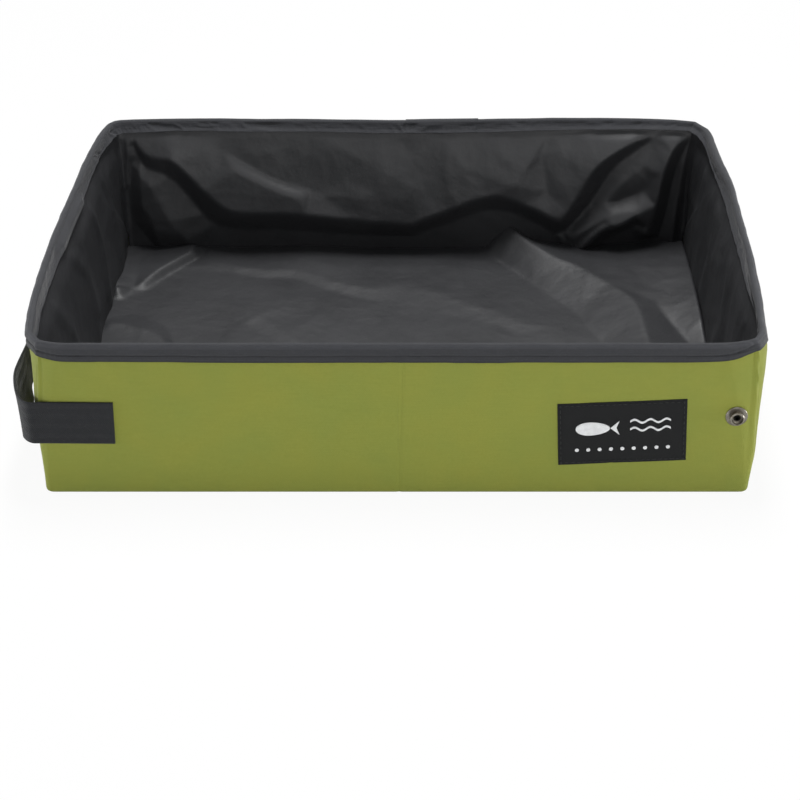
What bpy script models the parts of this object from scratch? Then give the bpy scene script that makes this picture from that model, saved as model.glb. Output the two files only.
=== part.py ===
"""A folding fabric litter tray in two halves, with board-stiffened walls, corner gussets and a snap strap.

+X runs along the long side, +Y to the rear and +Z up. The origin lies under the middle of the tray, on the
crease where it folds in half.
"""

import math

import bmesh
import bpy
from mathutils import Matrix, Vector

# Overall size, over the outer faces of the walls and the top of the rim
LENGTH = 0.400
WIDTH = 0.300
HEIGHT = 0.100

# Layers of the walls and the floor
SKIN = 0.0005
LINING = 0.0004
WALL_BOARD = 0.0015
FLOOR_BOARD = 0.002
GAP = 0.0003
BOARD_INSET = 0.002
CREASE_FLAP = 0.001
MITRE_GAP = 0.0005
OVERRUN = 0.004

# Binding tape over the rim
TAPE = 0.0005
TAPE_DROP = 0.0105

# Loose folds of the lining
FLOOR_FOLD_RISE = 0.003
FLOOR_FOLD_WIDTH = 0.011
FLOOR_FLAT_EDGE = 0.012
BELLY_DEPTH = 0.0055
BELLY_WAVE = 0.085
BELLY_FADE = 0.028
BELLY_HEIGHT = 0.030
BELLY_CLEARANCE = 0.004
FLOOR_CELL = 0.0115
WALL_CELL = 0.0085

# Closure strap
STRAP_WIDTH = 0.0274
STRAP_THICKNESS = 0.0012
STRAP_TAB = 0.0425
STRAP_MID_HEIGHT = 0.0495
STRAP_STANDOFF = 0.021
STRAP_REACH = 0.088
STRAP_STRAIGHT_END = 0.022
STRAP_STEP = 0.005

# Snap fastener: stud on the front, socket and cap on the strap
STUD_FROM_END = 0.0109
STUD_HEIGHT_ON_WALL = 0.0538
STUD_FLANGE_RADIUS = 0.0062
STUD_FLANGE = 0.0008
STUD_NECK_RADIUS = 0.0036
STUD_HEAD_RADIUS = 0.0041
STUD_TALL = 0.0038
STUD_HEAD_TALL = 0.0015
STUD_HOLLOW_RADIUS = 0.0032
STUD_HOLLOW_DEPTH = 0.0022
SHANK_RADIUS = 0.0017
SHANK_RISE = 0.0007
SHANK_BORE_RADIUS = 0.0011
SHANK_BORE_DEPTH = 0.0021
RIVET_FLANGE_RADIUS = 0.005
RIVET_FLANGE = 0.001
SOCKET_RADIUS = 0.0056
SOCKET_TALL = 0.0034
SOCKET_WEB = 0.0008
SOCKET_GRIP = 0.0004
CAP_RADIUS = 0.0058
CAP_TALL = 0.0017
CAP_EDGE = 0.0005
SNAP_FROM_TIP = 0.011
SNAP_ROUND = 0.0003

# Woven label on the front
LABEL_LENGTH = 0.071
LABEL_HEIGHT = 0.040
LABEL_THICKNESS = 0.0006
LABEL_TO_STUD = 0.0208
LABEL_MID_HEIGHT = 0.0432
LABEL_TILT = math.radians(2.7)
LABEL_CORNER = 0.001

# The share of the belly's depth that its waves take up
BELLY_WAVE_SHARE = 0.22

# Number of sides of round pieces and of the rounded strap root
ROUND_STEPS = 28
ROOT_STEPS = 6

# Sizes that follow from the layers
HALF_LENGTH = LENGTH / 2
HALF_WIDTH = WIDTH / 2
SEAM = GAP / 2
LIP = GAP + TAPE
WALL = SKIN + GAP + WALL_BOARD + GAP + LINING
GUSSET = SKIN + GAP + LINING
INNER_X = HALF_LENGTH - WALL
INNER_Y = HALF_WIDTH - WALL
WALL_TOP = HEIGHT - LIP
TAPE_LOW = HEIGHT - TAPE_DROP
BOARD_LOW = SKIN + GAP
FLOOR_TOP = BOARD_LOW + FLOOR_BOARD + GAP + LINING

# End walls fold on to the floor first, gussets lie on them, and the long walls fold on top
END_HINGE_Z = FLOOR_TOP + FLOOR_FOLD_RISE + GAP + LIP
LONG_HINGE_Z = END_HINGE_Z + WALL + LIP + GAP + LIP + GUSSET + LIP + GAP + LIP
CREASE_Z = -SEAM
GUSSET_Y = INNER_Y - LIP - GAP - LIP
MITRE_Y = GUSSET_Y + LONG_HINGE_Z
FOLDED_END_X = INNER_X - (HEIGHT - END_HINGE_Z)
STUD_X = HALF_LENGTH - STUD_FROM_END

HALVES = {"left": -1, "right": 1}
ROWS = {"front": -1, "rear": 1}

# Folds of the lining, as shares of the half length and the half width, and of the rise
FLOOR_FOLD_SHARES = {
    "left": (
        ((-0.86, 0.86), (-0.62, 0.80), (-0.44, 0.84), 0.75),
        ((-0.78, 0.62), (-0.60, 0.20), (-0.66, -0.25), 0.45),
        ((-0.40, -0.30), (-0.22, -0.52), (-0.10, -0.80), 0.40),
    ),
    "right": (
        ((0.30, 0.88), (0.57, 0.74), (0.76, 0.38), 1.0),
        ((0.76, 0.38), (0.83, 0.10), (0.80, -0.30), 0.9),
        ((0.90, 0.84), (0.78, 0.66), (0.57, 0.74), 0.7),
    ),
}
# Route of the free strap, as shares of its standoff and its reach
STRAP_ROUTE_SHARES = ((0.0, 0.0), (0.26, 0.012), (0.62, 0.115), (0.86, 0.235), (1.0, 0.41), (0.95, 0.65))
STRAP_END_SHARE = 0.80

tray = bpy.data.collections.new("folding_litter_tray")
cutters = bpy.data.collections.new("cutters")


def clear_scene():
    """Remove what the file holds, and add the two collections."""
    for item in list(bpy.data.objects):
        bpy.data.objects.remove(item, do_unlink=True)
    for collection in (tray, cutters):
        bpy.context.scene.collection.children.link(collection)


def material(name, colour, roughness, metallic=0.0):
    """A Principled material of one colour."""
    made = bpy.data.materials.new(name)
    made.use_nodes = True
    shader = made.node_tree.nodes["Principled BSDF"]
    shader.inputs["Base Color"].default_value = (*colour, 1.0)
    shader.inputs["Roughness"].default_value = roughness
    shader.inputs["Metallic"].default_value = metallic
    return made


def finishes():
    """The tray's materials, by name."""
    return {
        "oxford": material("green_oxford", (0.24, 0.265, 0.055), 0.85),
        "lining": material("coated_lining", (0.045, 0.046, 0.050), 0.50),
        "board": material("stiffener_board", (0.55, 0.50, 0.42), 0.80),
        "tape": material("binding_tape", (0.050, 0.051, 0.055), 0.80),
        "webbing": material("webbing", (0.022, 0.023, 0.026), 0.85),
        "label": material("woven_label", (0.012, 0.012, 0.013), 0.75),
        "metal": material("snap_metal", (0.33, 0.32, 0.30), 0.35, 1.0),
    }


def pivots():
    """One empty on the axis of each joint, keyed by the body that it carries."""
    places = {
        "base_left": (None, Vector((0, 0, 0))),
        "base_right": ("base_left", Vector((0, 0, CREASE_Z))),
    }
    for half, side in HALVES.items():
        base = f"base_{half}"
        places[f"end_{half}"] = (base, Vector((side * INNER_X, 0, END_HINGE_Z)))
        for row, way in ROWS.items():
            wall = f"{row}_{half}"
            corner = Vector((side * (HALF_LENGTH - GUSSET), way * GUSSET_Y, LONG_HINGE_Z))
            places[wall] = (base, Vector((side * HALF_LENGTH / 2, way * INNER_Y, LONG_HINGE_Z)))
            places[f"gusset_{wall}"] = (wall, corner)
    places["strap"] = ("front_left", strap_root())
    made = {}
    for body, (parent, place) in places.items():
        empty = bpy.data.objects.new(f"{body}_pivot", None)
        empty.empty_display_size = HEIGHT / 4
        tray.objects.link(empty)
        if parent:
            empty.parent = made[parent]
            empty.location = place - places[parent][1]
        made[body] = empty
        empty["place"] = place
    return made


def add(name, mesh, body, finish, place=None, turn=None):
    """Put a mesh in the tray collection, on a body's empty."""
    made = bpy.data.objects.new(name, mesh)
    tray.objects.link(made)
    made.parent = PIVOTS[body]
    made.location = (place or Vector((0, 0, 0))) - Vector(PIVOTS[body]["place"])
    if turn:
        made.rotation_euler = turn.to_euler()
    mesh.materials.clear()
    mesh.materials.append(FINISH[finish])
    return made


def block_mesh(name, x, y, z):
    """A box between two values on each axis, given in either order."""
    mesh = bpy.data.meshes.new(name)
    shape = bmesh.new()
    bmesh.ops.create_cube(shape, size=1.0)
    low = Vector((min(x), min(y), min(z)))
    high = Vector((max(x), max(y), max(z)))
    middle = (low + high) / 2
    for vertex in shape.verts:
        vertex.co = Vector(middle[i] + vertex.co[i] * (high[i] - low[i]) for i in range(3))
    shape.to_mesh(mesh)
    shape.free()
    return mesh


def block(name, body, finish, x, y, z):
    """A box as a sub-part."""
    return add(name, block_mesh(name, x, y, z), body, finish)


def as_cutter(name, mesh):
    """An unseen object that other pieces are cut by."""
    tool = bpy.data.objects.new(name, mesh)
    cutters.objects.link(tool)
    tool.hide_render = True
    tool.display_type = "WIRE"
    return tool


def cut(target, tool):
    """Take one object's shape out of another."""
    modifier = target.modifiers.new(tool.name, "BOOLEAN")
    modifier.operation = "DIFFERENCE"
    modifier.solver = "EXACT"
    modifier.object = tool


def cut_block(target, name, x, y, z):
    """Take a box out of a piece."""
    cut(target, as_cutter(f"{target.name}_{name}", block_mesh(name, x, y, z)))


def cut_round_y(target, name, x, z, radius):
    """Drill through a long wall's layer, along Y."""
    mesh = bpy.data.meshes.new(name)
    shape = bmesh.new()
    bmesh.ops.create_cone(
        shape, cap_ends=True, segments=ROUND_STEPS, radius1=radius, radius2=radius, depth=WALL + OVERRUN
    )
    shape.to_mesh(mesh)
    shape.free()
    tool = as_cutter(f"{target.name}_{name}", mesh)
    tool.location = (x, -(HALF_WIDTH - WALL / 2), z)
    tool.rotation_euler = (math.pi / 2, 0, 0)
    cut(target, tool)


def plate_mesh(name, outline, thickness):
    """A flat outline in the YZ plane as a filled curve, half its thickness to each side, made a mesh."""
    curve = bpy.data.curves.new(name, "CURVE")
    curve.dimensions = "2D"
    curve.fill_mode = "BOTH"
    curve.extrude = thickness / 2
    line = curve.splines.new("POLY")
    line.points.add(len(outline) - 1)
    for point, (across, up) in zip(line.points, outline):
        point.co = (across, up, 0, 1)
    line.use_cyclic_u = True
    guide = bpy.data.objects.new(name, curve)
    tray.objects.link(guide)
    bpy.context.view_layer.update()
    mesh = bpy.data.meshes.new_from_object(guide.evaluated_get(bpy.context.evaluated_depsgraph_get()))
    bpy.data.objects.remove(guide, do_unlink=True)
    shape = bmesh.new()
    shape.from_mesh(mesh)
    bmesh.ops.remove_doubles(shape, verts=shape.verts, dist=GAP / 100)
    bmesh.ops.recalc_face_normals(shape, faces=shape.faces)
    shape.to_mesh(mesh)
    shape.free()
    return mesh


# Turns a plate drawn in XY so that it stands in YZ, its first axis along Y
UPRIGHT = Matrix(((0, 0, 1), (1, 0, 0), (0, 1, 0)))


def plate(name, body, finish, outline, x):
    """A flat outline in the YZ plane, between two values of X."""
    mesh = plate_mesh(name, outline, abs(x[1] - x[0]))
    return add(name, mesh, body, finish, Vector(((x[0] + x[1]) / 2, 0, 0)), UPRIGHT)


def sheet_mesh(name, rows):
    """A cloth sheet with no thickness yet: a grid whose points are given row by row."""
    mesh = bpy.data.meshes.new(name)
    shape = bmesh.new()
    bmesh.ops.create_grid(shape, x_segments=len(rows[0]) - 1, y_segments=len(rows) - 1, size=1.0)
    ordered = sorted(shape.verts, key=lambda v: (round(v.co.y, 5), round(v.co.x, 5)))
    flat = [point for row in rows for point in row]
    for vertex, point in zip(ordered, flat):
        vertex.co = point
    shape.to_mesh(mesh)
    shape.free()
    return mesh


def thicken(target, thickness):
    """Give an open sheet its thickness, half to each side."""
    solid = target.modifiers.new("thickness", "SOLIDIFY")
    solid.thickness = thickness
    solid.offset = 0.0
    solid.use_even_offset = True


def smooth_step(value):
    """0 below 0, 1 above 1, and a smooth rise between."""
    held = min(max(value, 0.0), 1.0)
    return held * held * (3 - 2 * held)


def steps(start, end, size):
    """Even steps of about a given size, both ends included."""
    count = max(1, round(abs(end - start) / size))
    return [start + (end - start) * i / count for i in range(count + 1)]


def fold_distance(point, start, end):
    """Distance from a point to a fold's line."""
    run = end - start
    along = min(max((point - start).dot(run) / run.length_squared, 0.0), 1.0)
    return (point - start - run * along).length


def floor_rise(half, x, y):
    """How far the floor lining stands up in its folds."""
    point = Vector((x, y))
    rise = 0.0
    for *line, share in FLOOR_FOLD_SHARES[half]:
        places = [Vector((a * INNER_X, b * INNER_Y)) for a, b in line]
        away = min(fold_distance(point, places[i], places[i + 1]) for i in range(len(places) - 1))
        rise = max(rise, share * math.exp(-((away / FLOOR_FOLD_WIDTH) ** 2)))
    edge = min(INNER_X - abs(x), INNER_Y - abs(y))
    return FLOOR_FOLD_RISE * rise * smooth_step(edge / FLOOR_FLAT_EDGE)


def floor_lining(half, side):
    """The floor's loose lining with its main folds, turned up at the front, the rear and the end."""
    name = f"floor_lining_{half}"
    lip_y = INNER_Y + LINING / 2
    lip_x = side * (INNER_X + LINING / 2)
    low = FLOOR_TOP - LINING / 2
    end_top = END_HINGE_Z - GAP
    wall_top = LONG_HINGE_Z - GAP
    across = steps(side * SEAM, lip_x, FLOOR_CELL)
    rows = []
    for z in (wall_top, end_top):
        rows.append([(x, -lip_y, z) for x in across])
    for y in steps(-lip_y, lip_y, FLOOR_CELL):
        rows.append([(x, y, low + floor_rise(half, x, y)) for x in across])
    for z in (end_top, wall_top):
        rows.append([(x, lip_y, z) for x in across])
    mesh = sheet_mesh(name, rows)
    shape = bmesh.new()
    shape.from_mesh(mesh)
    edges = [
        e
        for e in shape.edges
        if all(abs(v.co.x - lip_x) < GAP and abs(v.co.z - low) < GAP for v in e.verts)
    ]
    grown = bmesh.ops.extrude_edge_only(shape, edges=edges)
    for item in grown["geom"]:
        if isinstance(item, bmesh.types.BMVert):
            item.co.z = end_top
    bmesh.ops.remove_doubles(shape, verts=shape.verts, dist=GAP / 10)
    bmesh.ops.recalc_face_normals(shape, faces=shape.faces)
    shape.to_mesh(mesh)
    shape.free()
    thicken(add(name, mesh, f"base_{half}", "lining"), LINING)


def belly(x, z):
    """How far the rear lining hangs away from its board."""
    edge = FOLDED_END_X - BELLY_CLEARANCE - abs(x)
    up = (z - LONG_HINGE_Z) / (BELLY_HEIGHT - LONG_HINGE_Z)
    down = (TAPE_LOW - GAP - z) / (TAPE_LOW - GAP - BELLY_HEIGHT)
    tall = smooth_step(up) if z < BELLY_HEIGHT else smooth_step(down)
    wave = 1 - BELLY_WAVE_SHARE * (1 - math.cos(math.tau * x / BELLY_WAVE + z / BELLY_HEIGHT))
    return BELLY_DEPTH * wave * tall * smooth_step(edge / BELLY_FADE)


def rear_lining(half, side):
    """The rear wall's lining, which hangs in a soft belly low down."""
    name = f"rear_lining_{half}"
    middle = INNER_Y + LINING / 2
    across = steps(side * SEAM, side * (HALF_LENGTH - SKIN - GAP), WALL_CELL)
    rows = [
        [(x, middle - belly(x, z), z) for x in across] for z in steps(LONG_HINGE_Z, WALL_TOP, WALL_CELL)
    ]
    thicken(add(name, sheet_mesh(name, rows), f"rear_{half}", "lining"), LINING)


def base(half, side):
    """One half of the floor: outer skin with its turned-up skirts, board and lining."""
    body = f"base_{half}"
    start = CREASE_FLAP if side < 0 else CREASE_FLAP + GAP
    end = side * HALF_LENGTH
    skin = block(
        f"bottom_skin_{half}",
        body,
        "oxford",
        (start, end),
        (-HALF_WIDTH, HALF_WIDTH),
        (0, LONG_HINGE_Z - GAP),
    )
    inner = HALF_WIDTH - SKIN
    cut_block(
        skin,
        "inside",
        (start - side * OVERRUN, end - side * SKIN),
        (-inner, inner),
        (SKIN, LONG_HINGE_Z + OVERRUN),
    )
    cut_block(
        skin,
        "end_step",
        (end - side * OVERRUN, end + side * OVERRUN),
        (-INNER_Y - GAP, INNER_Y + GAP),
        (END_HINGE_Z - GAP, LONG_HINGE_Z + OVERRUN),
    )
    block(
        f"floor_board_{half}",
        body,
        "board",
        (side * BOARD_INSET, side * INNER_X),
        (-INNER_Y, INNER_Y),
        (BOARD_LOW, BOARD_LOW + FLOOR_BOARD),
    )
    floor_lining(half, side)


def long_wall(row, way, half, side):
    """One half of the front or rear wall: skin with its corner return, board, lining and rim tape."""
    body = f"{row}_{half}"
    outer = way * HALF_WIDTH
    skin = block(
        f"{row}_skin_{half}",
        body,
        "oxford",
        (side * SEAM, side * HALF_LENGTH),
        (outer, way * (GUSSET_Y + GAP)),
        (LONG_HINGE_Z, WALL_TOP),
    )
    cut_block(
        skin,
        "inside",
        (-side * OVERRUN, side * (HALF_LENGTH - SKIN)),
        (outer - way * SKIN, way * (GUSSET_Y - OVERRUN)),
        (LONG_HINGE_Z - OVERRUN, HEIGHT + OVERRUN),
    )
    cut_block(
        skin,
        "rim_notch",
        (side * (HALF_LENGTH - OVERRUN), side * (HALF_LENGTH + OVERRUN)),
        (way * INNER_Y, way * (GUSSET_Y - OVERRUN)),
        (TAPE_LOW - GAP, HEIGHT + OVERRUN),
    )
    board_y = outer - way * (SKIN + GAP)
    board = block(
        f"{row}_board_{half}",
        body,
        "board",
        (side * BOARD_INSET, side * (HALF_LENGTH - BOARD_INSET)),
        (board_y, board_y - way * WALL_BOARD),
        (LONG_HINGE_Z + BOARD_INSET, WALL_TOP),
    )
    if row == "rear":
        rear_lining(half, side)
    else:
        block(
            f"{row}_lining_{half}",
            body,
            "lining",
            (side * SEAM, side * (HALF_LENGTH - SKIN - GAP)),
            (way * INNER_Y, way * (INNER_Y + LINING)),
            (LONG_HINGE_Z, WALL_TOP),
        )
    tape = block(
        f"{row}_binding_{half}",
        body,
        "tape",
        (side * SEAM, side * (HALF_LENGTH + LIP)),
        (outer + way * LIP, way * (INNER_Y - LIP)),
        (TAPE_LOW, HEIGHT),
    )
    cut_block(
        tape,
        "slot",
        (-side * OVERRUN, side * (HALF_LENGTH + GAP)),
        (outer + way * GAP, way * (INNER_Y - GAP)),
        (TAPE_LOW - OVERRUN, HEIGHT - TAPE),
    )
    return skin, board


def mitre(z, start=0.0):
    """The distance from the middle of an end to its 45 degree crease, at a height."""
    return MITRE_Y + start - z


def rim_tape(name, body, x, slot_x, edges):
    """Tape over a rim in an end's plane. edges gives the two ends of the tape at a height."""
    mesh = bpy.data.meshes.new(name)
    shape = bmesh.new()
    bmesh.ops.create_cube(shape, size=1.0)
    for vertex in shape.verts:
        z = HEIGHT if vertex.co.z > 0 else TAPE_LOW
        near, far = edges(z)
        vertex.co = (max(x) if vertex.co.x > 0 else min(x), far if vertex.co.y > 0 else near, z)
    shape.to_mesh(mesh)
    shape.free()
    tape = add(name, mesh, body, "tape")
    cut_block(tape, "slot", slot_x, (-WIDTH, WIDTH), (TAPE_LOW - OVERRUN, HEIGHT - TAPE))


def end_wall(half, side):
    """One end: the trapezoid between the two 45 degree creases, as skin, board, lining and tape."""
    body = f"end_{half}"
    right_half = [(GUSSET_Y, END_HINGE_Z), (GUSSET_Y, LONG_HINGE_Z), (mitre(WALL_TOP), WALL_TOP)]
    outline = right_half + [(-y, z) for y, z in reversed(right_half)]
    inset = [
        (GUSSET_Y - BOARD_INSET, END_HINGE_Z + BOARD_INSET),
        (GUSSET_Y - BOARD_INSET, LONG_HINGE_Z),
        (mitre(WALL_TOP) - BOARD_INSET, WALL_TOP),
    ]
    board_outline = inset + [(-y, z) for y, z in reversed(inset)]
    outer = side * HALF_LENGTH
    board_x = outer - side * (SKIN + GAP)
    plate(f"end_skin_{half}", body, "oxford", outline, (outer, outer - side * SKIN))
    plate(f"end_board_{half}", body, "board", board_outline, (board_x, board_x - side * WALL_BOARD))
    plate(f"end_lining_{half}", body, "lining", outline, (side * INNER_X, side * (INNER_X + LINING)))
    rim_tape(
        f"end_binding_{half}",
        body,
        (outer + side * LIP, side * (INNER_X - LIP)),
        (outer + side * GAP, side * (INNER_X - GAP)),
        lambda z: (-mitre(z), mitre(z)),
    )


def gusset(row, way, half, side):
    """The soft triangle that closes a corner: skin, lining and tape, with no board."""
    body = f"gusset_{row}_{half}"
    foot = LONG_HINGE_Z + MITRE_GAP
    tip = mitre(WALL_TOP, MITRE_GAP)
    outline = [(way * GUSSET_Y, foot), (way * GUSSET_Y, WALL_TOP), (way * tip, WALL_TOP)]
    outer = side * HALF_LENGTH
    inner = outer - side * GUSSET
    plate(f"gusset_skin_{row}_{half}", body, "oxford", outline, (outer, outer - side * SKIN))
    plate(f"gusset_lining_{row}_{half}", body, "lining", outline, (inner, inner + side * LINING))
    rim_tape(
        f"gusset_binding_{row}_{half}",
        body,
        (outer + side * LIP, inner - side * LIP),
        (outer + side * GAP, inner - side * GAP),
        lambda z: sorted((way * GUSSET_Y, way * mitre(z, MITRE_GAP))),
    )


def turned(name, body, profile, place, turn):
    """A turned piece: a profile of radius and height spun about its axis."""
    mesh = bpy.data.meshes.new(name)
    closed = profile[0][0] > 0
    edges = [(i, i + 1) for i in range(len(profile) - 1)]
    if closed:
        edges.append((len(profile) - 1, 0))
    mesh.from_pydata([(radius, 0, height) for radius, height in profile], edges, [])
    made = add(name, mesh, body, "metal", place, turn)
    spin = made.modifiers.new("spin", "SCREW")
    spin.steps = ROUND_STEPS
    spin.render_steps = ROUND_STEPS
    spin.use_merge_vertices = True
    spin.merge_threshold = GAP / 100
    return made


def stud(skin, board):
    """The snap's stud on the front wall's right end, and the rivet that holds it through the skin."""
    x = STUD_X
    face = -HALF_WIDTH
    outward = Matrix.Rotation(math.pi / 2, 3, "X")
    shank_hole = SHANK_RADIUS + GAP
    cut_round_y(skin, "rivet_hole", x, STUD_HEIGHT_ON_WALL, shank_hole)
    cut_round_y(board, "rivet_pocket", x, STUD_HEIGHT_ON_WALL, RIVET_FLANGE_RADIUS + GAP)
    hollow = STUD_TALL - STUD_HOLLOW_DEPTH
    profile = [
        (shank_hole, hollow),
        (STUD_HOLLOW_RADIUS, hollow),
        (STUD_HOLLOW_RADIUS, STUD_TALL),
        (STUD_HEAD_RADIUS - SNAP_ROUND, STUD_TALL),
        (STUD_HEAD_RADIUS, STUD_TALL - SNAP_ROUND),
        (STUD_HEAD_RADIUS, STUD_TALL - STUD_HEAD_TALL + SNAP_ROUND),
        (STUD_NECK_RADIUS, STUD_TALL - STUD_HEAD_TALL),
        (STUD_NECK_RADIUS, STUD_FLANGE),
        (STUD_FLANGE_RADIUS - SNAP_ROUND, STUD_FLANGE),
        (STUD_FLANGE_RADIUS, STUD_FLANGE - SNAP_ROUND),
        (STUD_FLANGE_RADIUS, 0),
        (shank_hole, 0),
    ]
    place = Vector((x, face - GAP, STUD_HEIGHT_ON_WALL))
    turned("snap_stud", "front_right", profile, place, outward)
    through = SKIN + GAP + GAP + hollow + SHANK_RISE
    rivet = [
        (0, through - SHANK_BORE_DEPTH),
        (SHANK_BORE_RADIUS, through - SHANK_BORE_DEPTH),
        (SHANK_BORE_RADIUS, through),
        (SHANK_RADIUS, through),
        (SHANK_RADIUS, 0),
        (RIVET_FLANGE_RADIUS, 0),
        (RIVET_FLANGE_RADIUS, -RIVET_FLANGE),
        (0, -RIVET_FLANGE),
    ]
    place = Vector((x, face + SKIN + GAP, STUD_HEIGHT_ON_WALL))
    turned("stud_rivet", "front_right", rivet, place, outward)


def label():
    """The label, a thin woven rectangle sewn on a little askew."""
    name = "woven_label"
    half_long, half_tall = LABEL_LENGTH / 2, LABEL_HEIGHT / 2
    mesh = block_mesh(
        name, (-half_long, half_long), (-LABEL_THICKNESS / 2, LABEL_THICKNESS / 2), (-half_tall, half_tall)
    )
    x = STUD_X - STUD_FLANGE_RADIUS - LABEL_TO_STUD - half_long
    place = Vector((x, -HALF_WIDTH - GAP - LABEL_THICKNESS / 2, LABEL_MID_HEIGHT))
    made = add(name, mesh, "front_right", "label", place, Matrix.Rotation(-LABEL_TILT, 3, "Y"))
    bevel = made.modifiers.new("corners", "BEVEL")
    bevel.width = LABEL_CORNER
    bevel.segments = 2
    bevel.limit_method = "WEIGHT"
    weights = mesh.attributes.new("bevel_weight_edge", "FLOAT", "EDGE")
    for edge in mesh.edges:
        first, second = (mesh.vertices[i].co for i in edge.vertices)
        if abs(first.y - second.y) > 0:
            weights.data[edge.index].value = 1.0


def strap_root():
    """Where the strap starts to swing, just past the end of its sewn tab."""
    reach = STRAP_THICKNESS / 2 + GAP
    return Vector((-HALF_LENGTH - reach, -HALF_WIDTH - GAP - STRAP_THICKNESS / 2, STRAP_MID_HEIGHT))


def strap_path():
    """Points along the middle of the free strap, from its root to its tip."""
    root = strap_root().to_2d()
    knots = [
        root + Vector((-out * STRAP_STANDOFF, along * STRAP_REACH)) for out, along in STRAP_ROUTE_SHARES
    ]
    end = root + Vector((-STRAP_END_SHARE * STRAP_STANDOFF, STRAP_REACH))
    heading = (end - knots[-1]).normalized()
    knots.append(end - heading * STRAP_STRAIGHT_END)
    knots.append(end)
    points = []
    for i in range(len(knots) - 1):
        before = knots[i - 1] if i else knots[0] * 2 - knots[1]
        after = knots[i + 2] if i + 2 < len(knots) else knots[-1] * 2 - knots[-2]
        count = max(2, round((knots[i + 1] - knots[i]).length / STRAP_STEP))
        for step in range(count):
            t = step / count
            a = (knots[i + 1] - before) / 2
            b = (after - knots[i]) / 2
            h00 = 2 * t**3 - 3 * t**2 + 1
            h10 = t**3 - 2 * t**2 + t
            h01 = -2 * t**3 + 3 * t**2
            h11 = t**3 - t**2
            points.append(h00 * knots[i] + h10 * a + h01 * knots[i + 1] + h11 * b)
    return points + [knots[-1]]


def strap_outline(path):
    """The strap seen from above: a band of even thickness with a rounded root."""
    half = STRAP_THICKNESS / 2
    headings = []
    for i in range(len(path)):
        ahead = path[min(i + 1, len(path) - 1)] - path[max(i - 1, 0)]
        headings.append(ahead.normalized())
    one = [p + Vector((h.y, -h.x)) * half for p, h in zip(path, headings)]
    other = [p - Vector((h.y, -h.x)) * half for p, h in zip(path, headings)]
    first = math.atan2(-headings[0].x, headings[0].y) + math.pi
    root = []
    for i in range(1, ROOT_STEPS):
        turn = first + math.pi * i / ROOT_STEPS
        root.append(path[0] + Vector((math.cos(turn), math.sin(turn))) * half)
    return one[::-1] + list(reversed(root)) + other


def strap():
    """The closure strap: its sewn tab, its free band, and the snap's socket and cap near the tip."""
    low = STRAP_MID_HEIGHT - STRAP_WIDTH / 2
    high = STRAP_MID_HEIGHT + STRAP_WIDTH / 2
    outer = -HALF_WIDTH - GAP
    block(
        "strap_tab",
        "front_left",
        "webbing",
        (-HALF_LENGTH, -HALF_LENGTH + STRAP_TAB),
        (outer, outer - STRAP_THICKNESS),
        (low, high),
    )
    path = strap_path()
    mesh = plate_mesh("strap_band", [(p.x, p.y) for p in strap_outline(path)], STRAP_WIDTH)
    band = add("strap_band", mesh, "strap", "webbing", Vector((0, 0, STRAP_MID_HEIGHT)))
    heading = (path[-1] - path[-2]).normalized()
    seat = path[-1] - heading * SNAP_FROM_TIP
    outward = Vector((-heading.y, heading.x))
    turn = Vector((0, 0, 1)).rotation_difference(outward.to_3d()).to_matrix()
    drill = bpy.data.meshes.new("strap_hole")
    shape = bmesh.new()
    bmesh.ops.create_cone(
        shape,
        cap_ends=True,
        segments=ROUND_STEPS,
        radius1=SHANK_RADIUS + GAP,
        radius2=SHANK_RADIUS + GAP,
        depth=STRAP_THICKNESS + OVERRUN,
    )
    shape.to_mesh(drill)
    shape.free()
    tool = as_cutter("strap_hole", drill)
    tool.location = (seat.x, seat.y, STRAP_MID_HEIGHT)
    tool.rotation_euler = turn.to_euler()
    cut(band, tool)
    face = STRAP_THICKNESS / 2 + GAP
    middle = Vector((seat.x, seat.y, STRAP_MID_HEIGHT))
    shank_end = face + face + SOCKET_WEB
    cap = [
        (0, CAP_TALL),
        (CAP_RADIUS / 2, CAP_TALL - CAP_EDGE / 2),
        (CAP_RADIUS - CAP_EDGE, CAP_TALL / 2),
        (CAP_RADIUS, CAP_EDGE),
        (CAP_RADIUS, 0),
        (SHANK_RADIUS, 0),
        (SHANK_RADIUS, -shank_end),
        (0, -shank_end),
    ]
    turned("snap_cap", "strap", cap, middle + outward.to_3d() * face, turn)
    grip = STUD_HEAD_RADIUS + SOCKET_GRIP
    socket = [
        (SOCKET_RADIUS - SNAP_ROUND, SOCKET_TALL),
        (SOCKET_RADIUS, SOCKET_TALL - SNAP_ROUND),
        (SOCKET_RADIUS, 0),
        (SHANK_RADIUS + GAP, 0),
        (SHANK_RADIUS + GAP, SOCKET_WEB),
        (grip, SOCKET_WEB),
        (grip, SOCKET_TALL),
    ]
    inward = Vector((0, 0, 1)).rotation_difference(-outward.to_3d()).to_matrix()
    turned("snap_socket", "strap", socket, middle - outward.to_3d() * face, inward)


def build():
    """Make every sub-part."""
    for half, side in HALVES.items():
        base(half, side)
        end_wall(half, side)
        for row, way in ROWS.items():
            skin, board = long_wall(row, way, half, side)
            gusset(row, way, half, side)
            if (row, half) == ("front", "right"):
                stud(skin, board)
    label()
    strap()


clear_scene()
FINISH = finishes()
PIVOTS = pivots()
build()
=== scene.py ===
"""Dresses the folding litter tray: outer cloth, loose coated lining, rim tape, strap, label and snap."""

import math

import bmesh
import bpy
import numpy as np
from bpy.props import FloatProperty, FloatVectorProperty, PointerProperty
from bpy.types import Operator, Panel, PropertyGroup
from mathutils import Matrix, Vector
from mathutils.geometry import delaunay_2d_cdt


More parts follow.
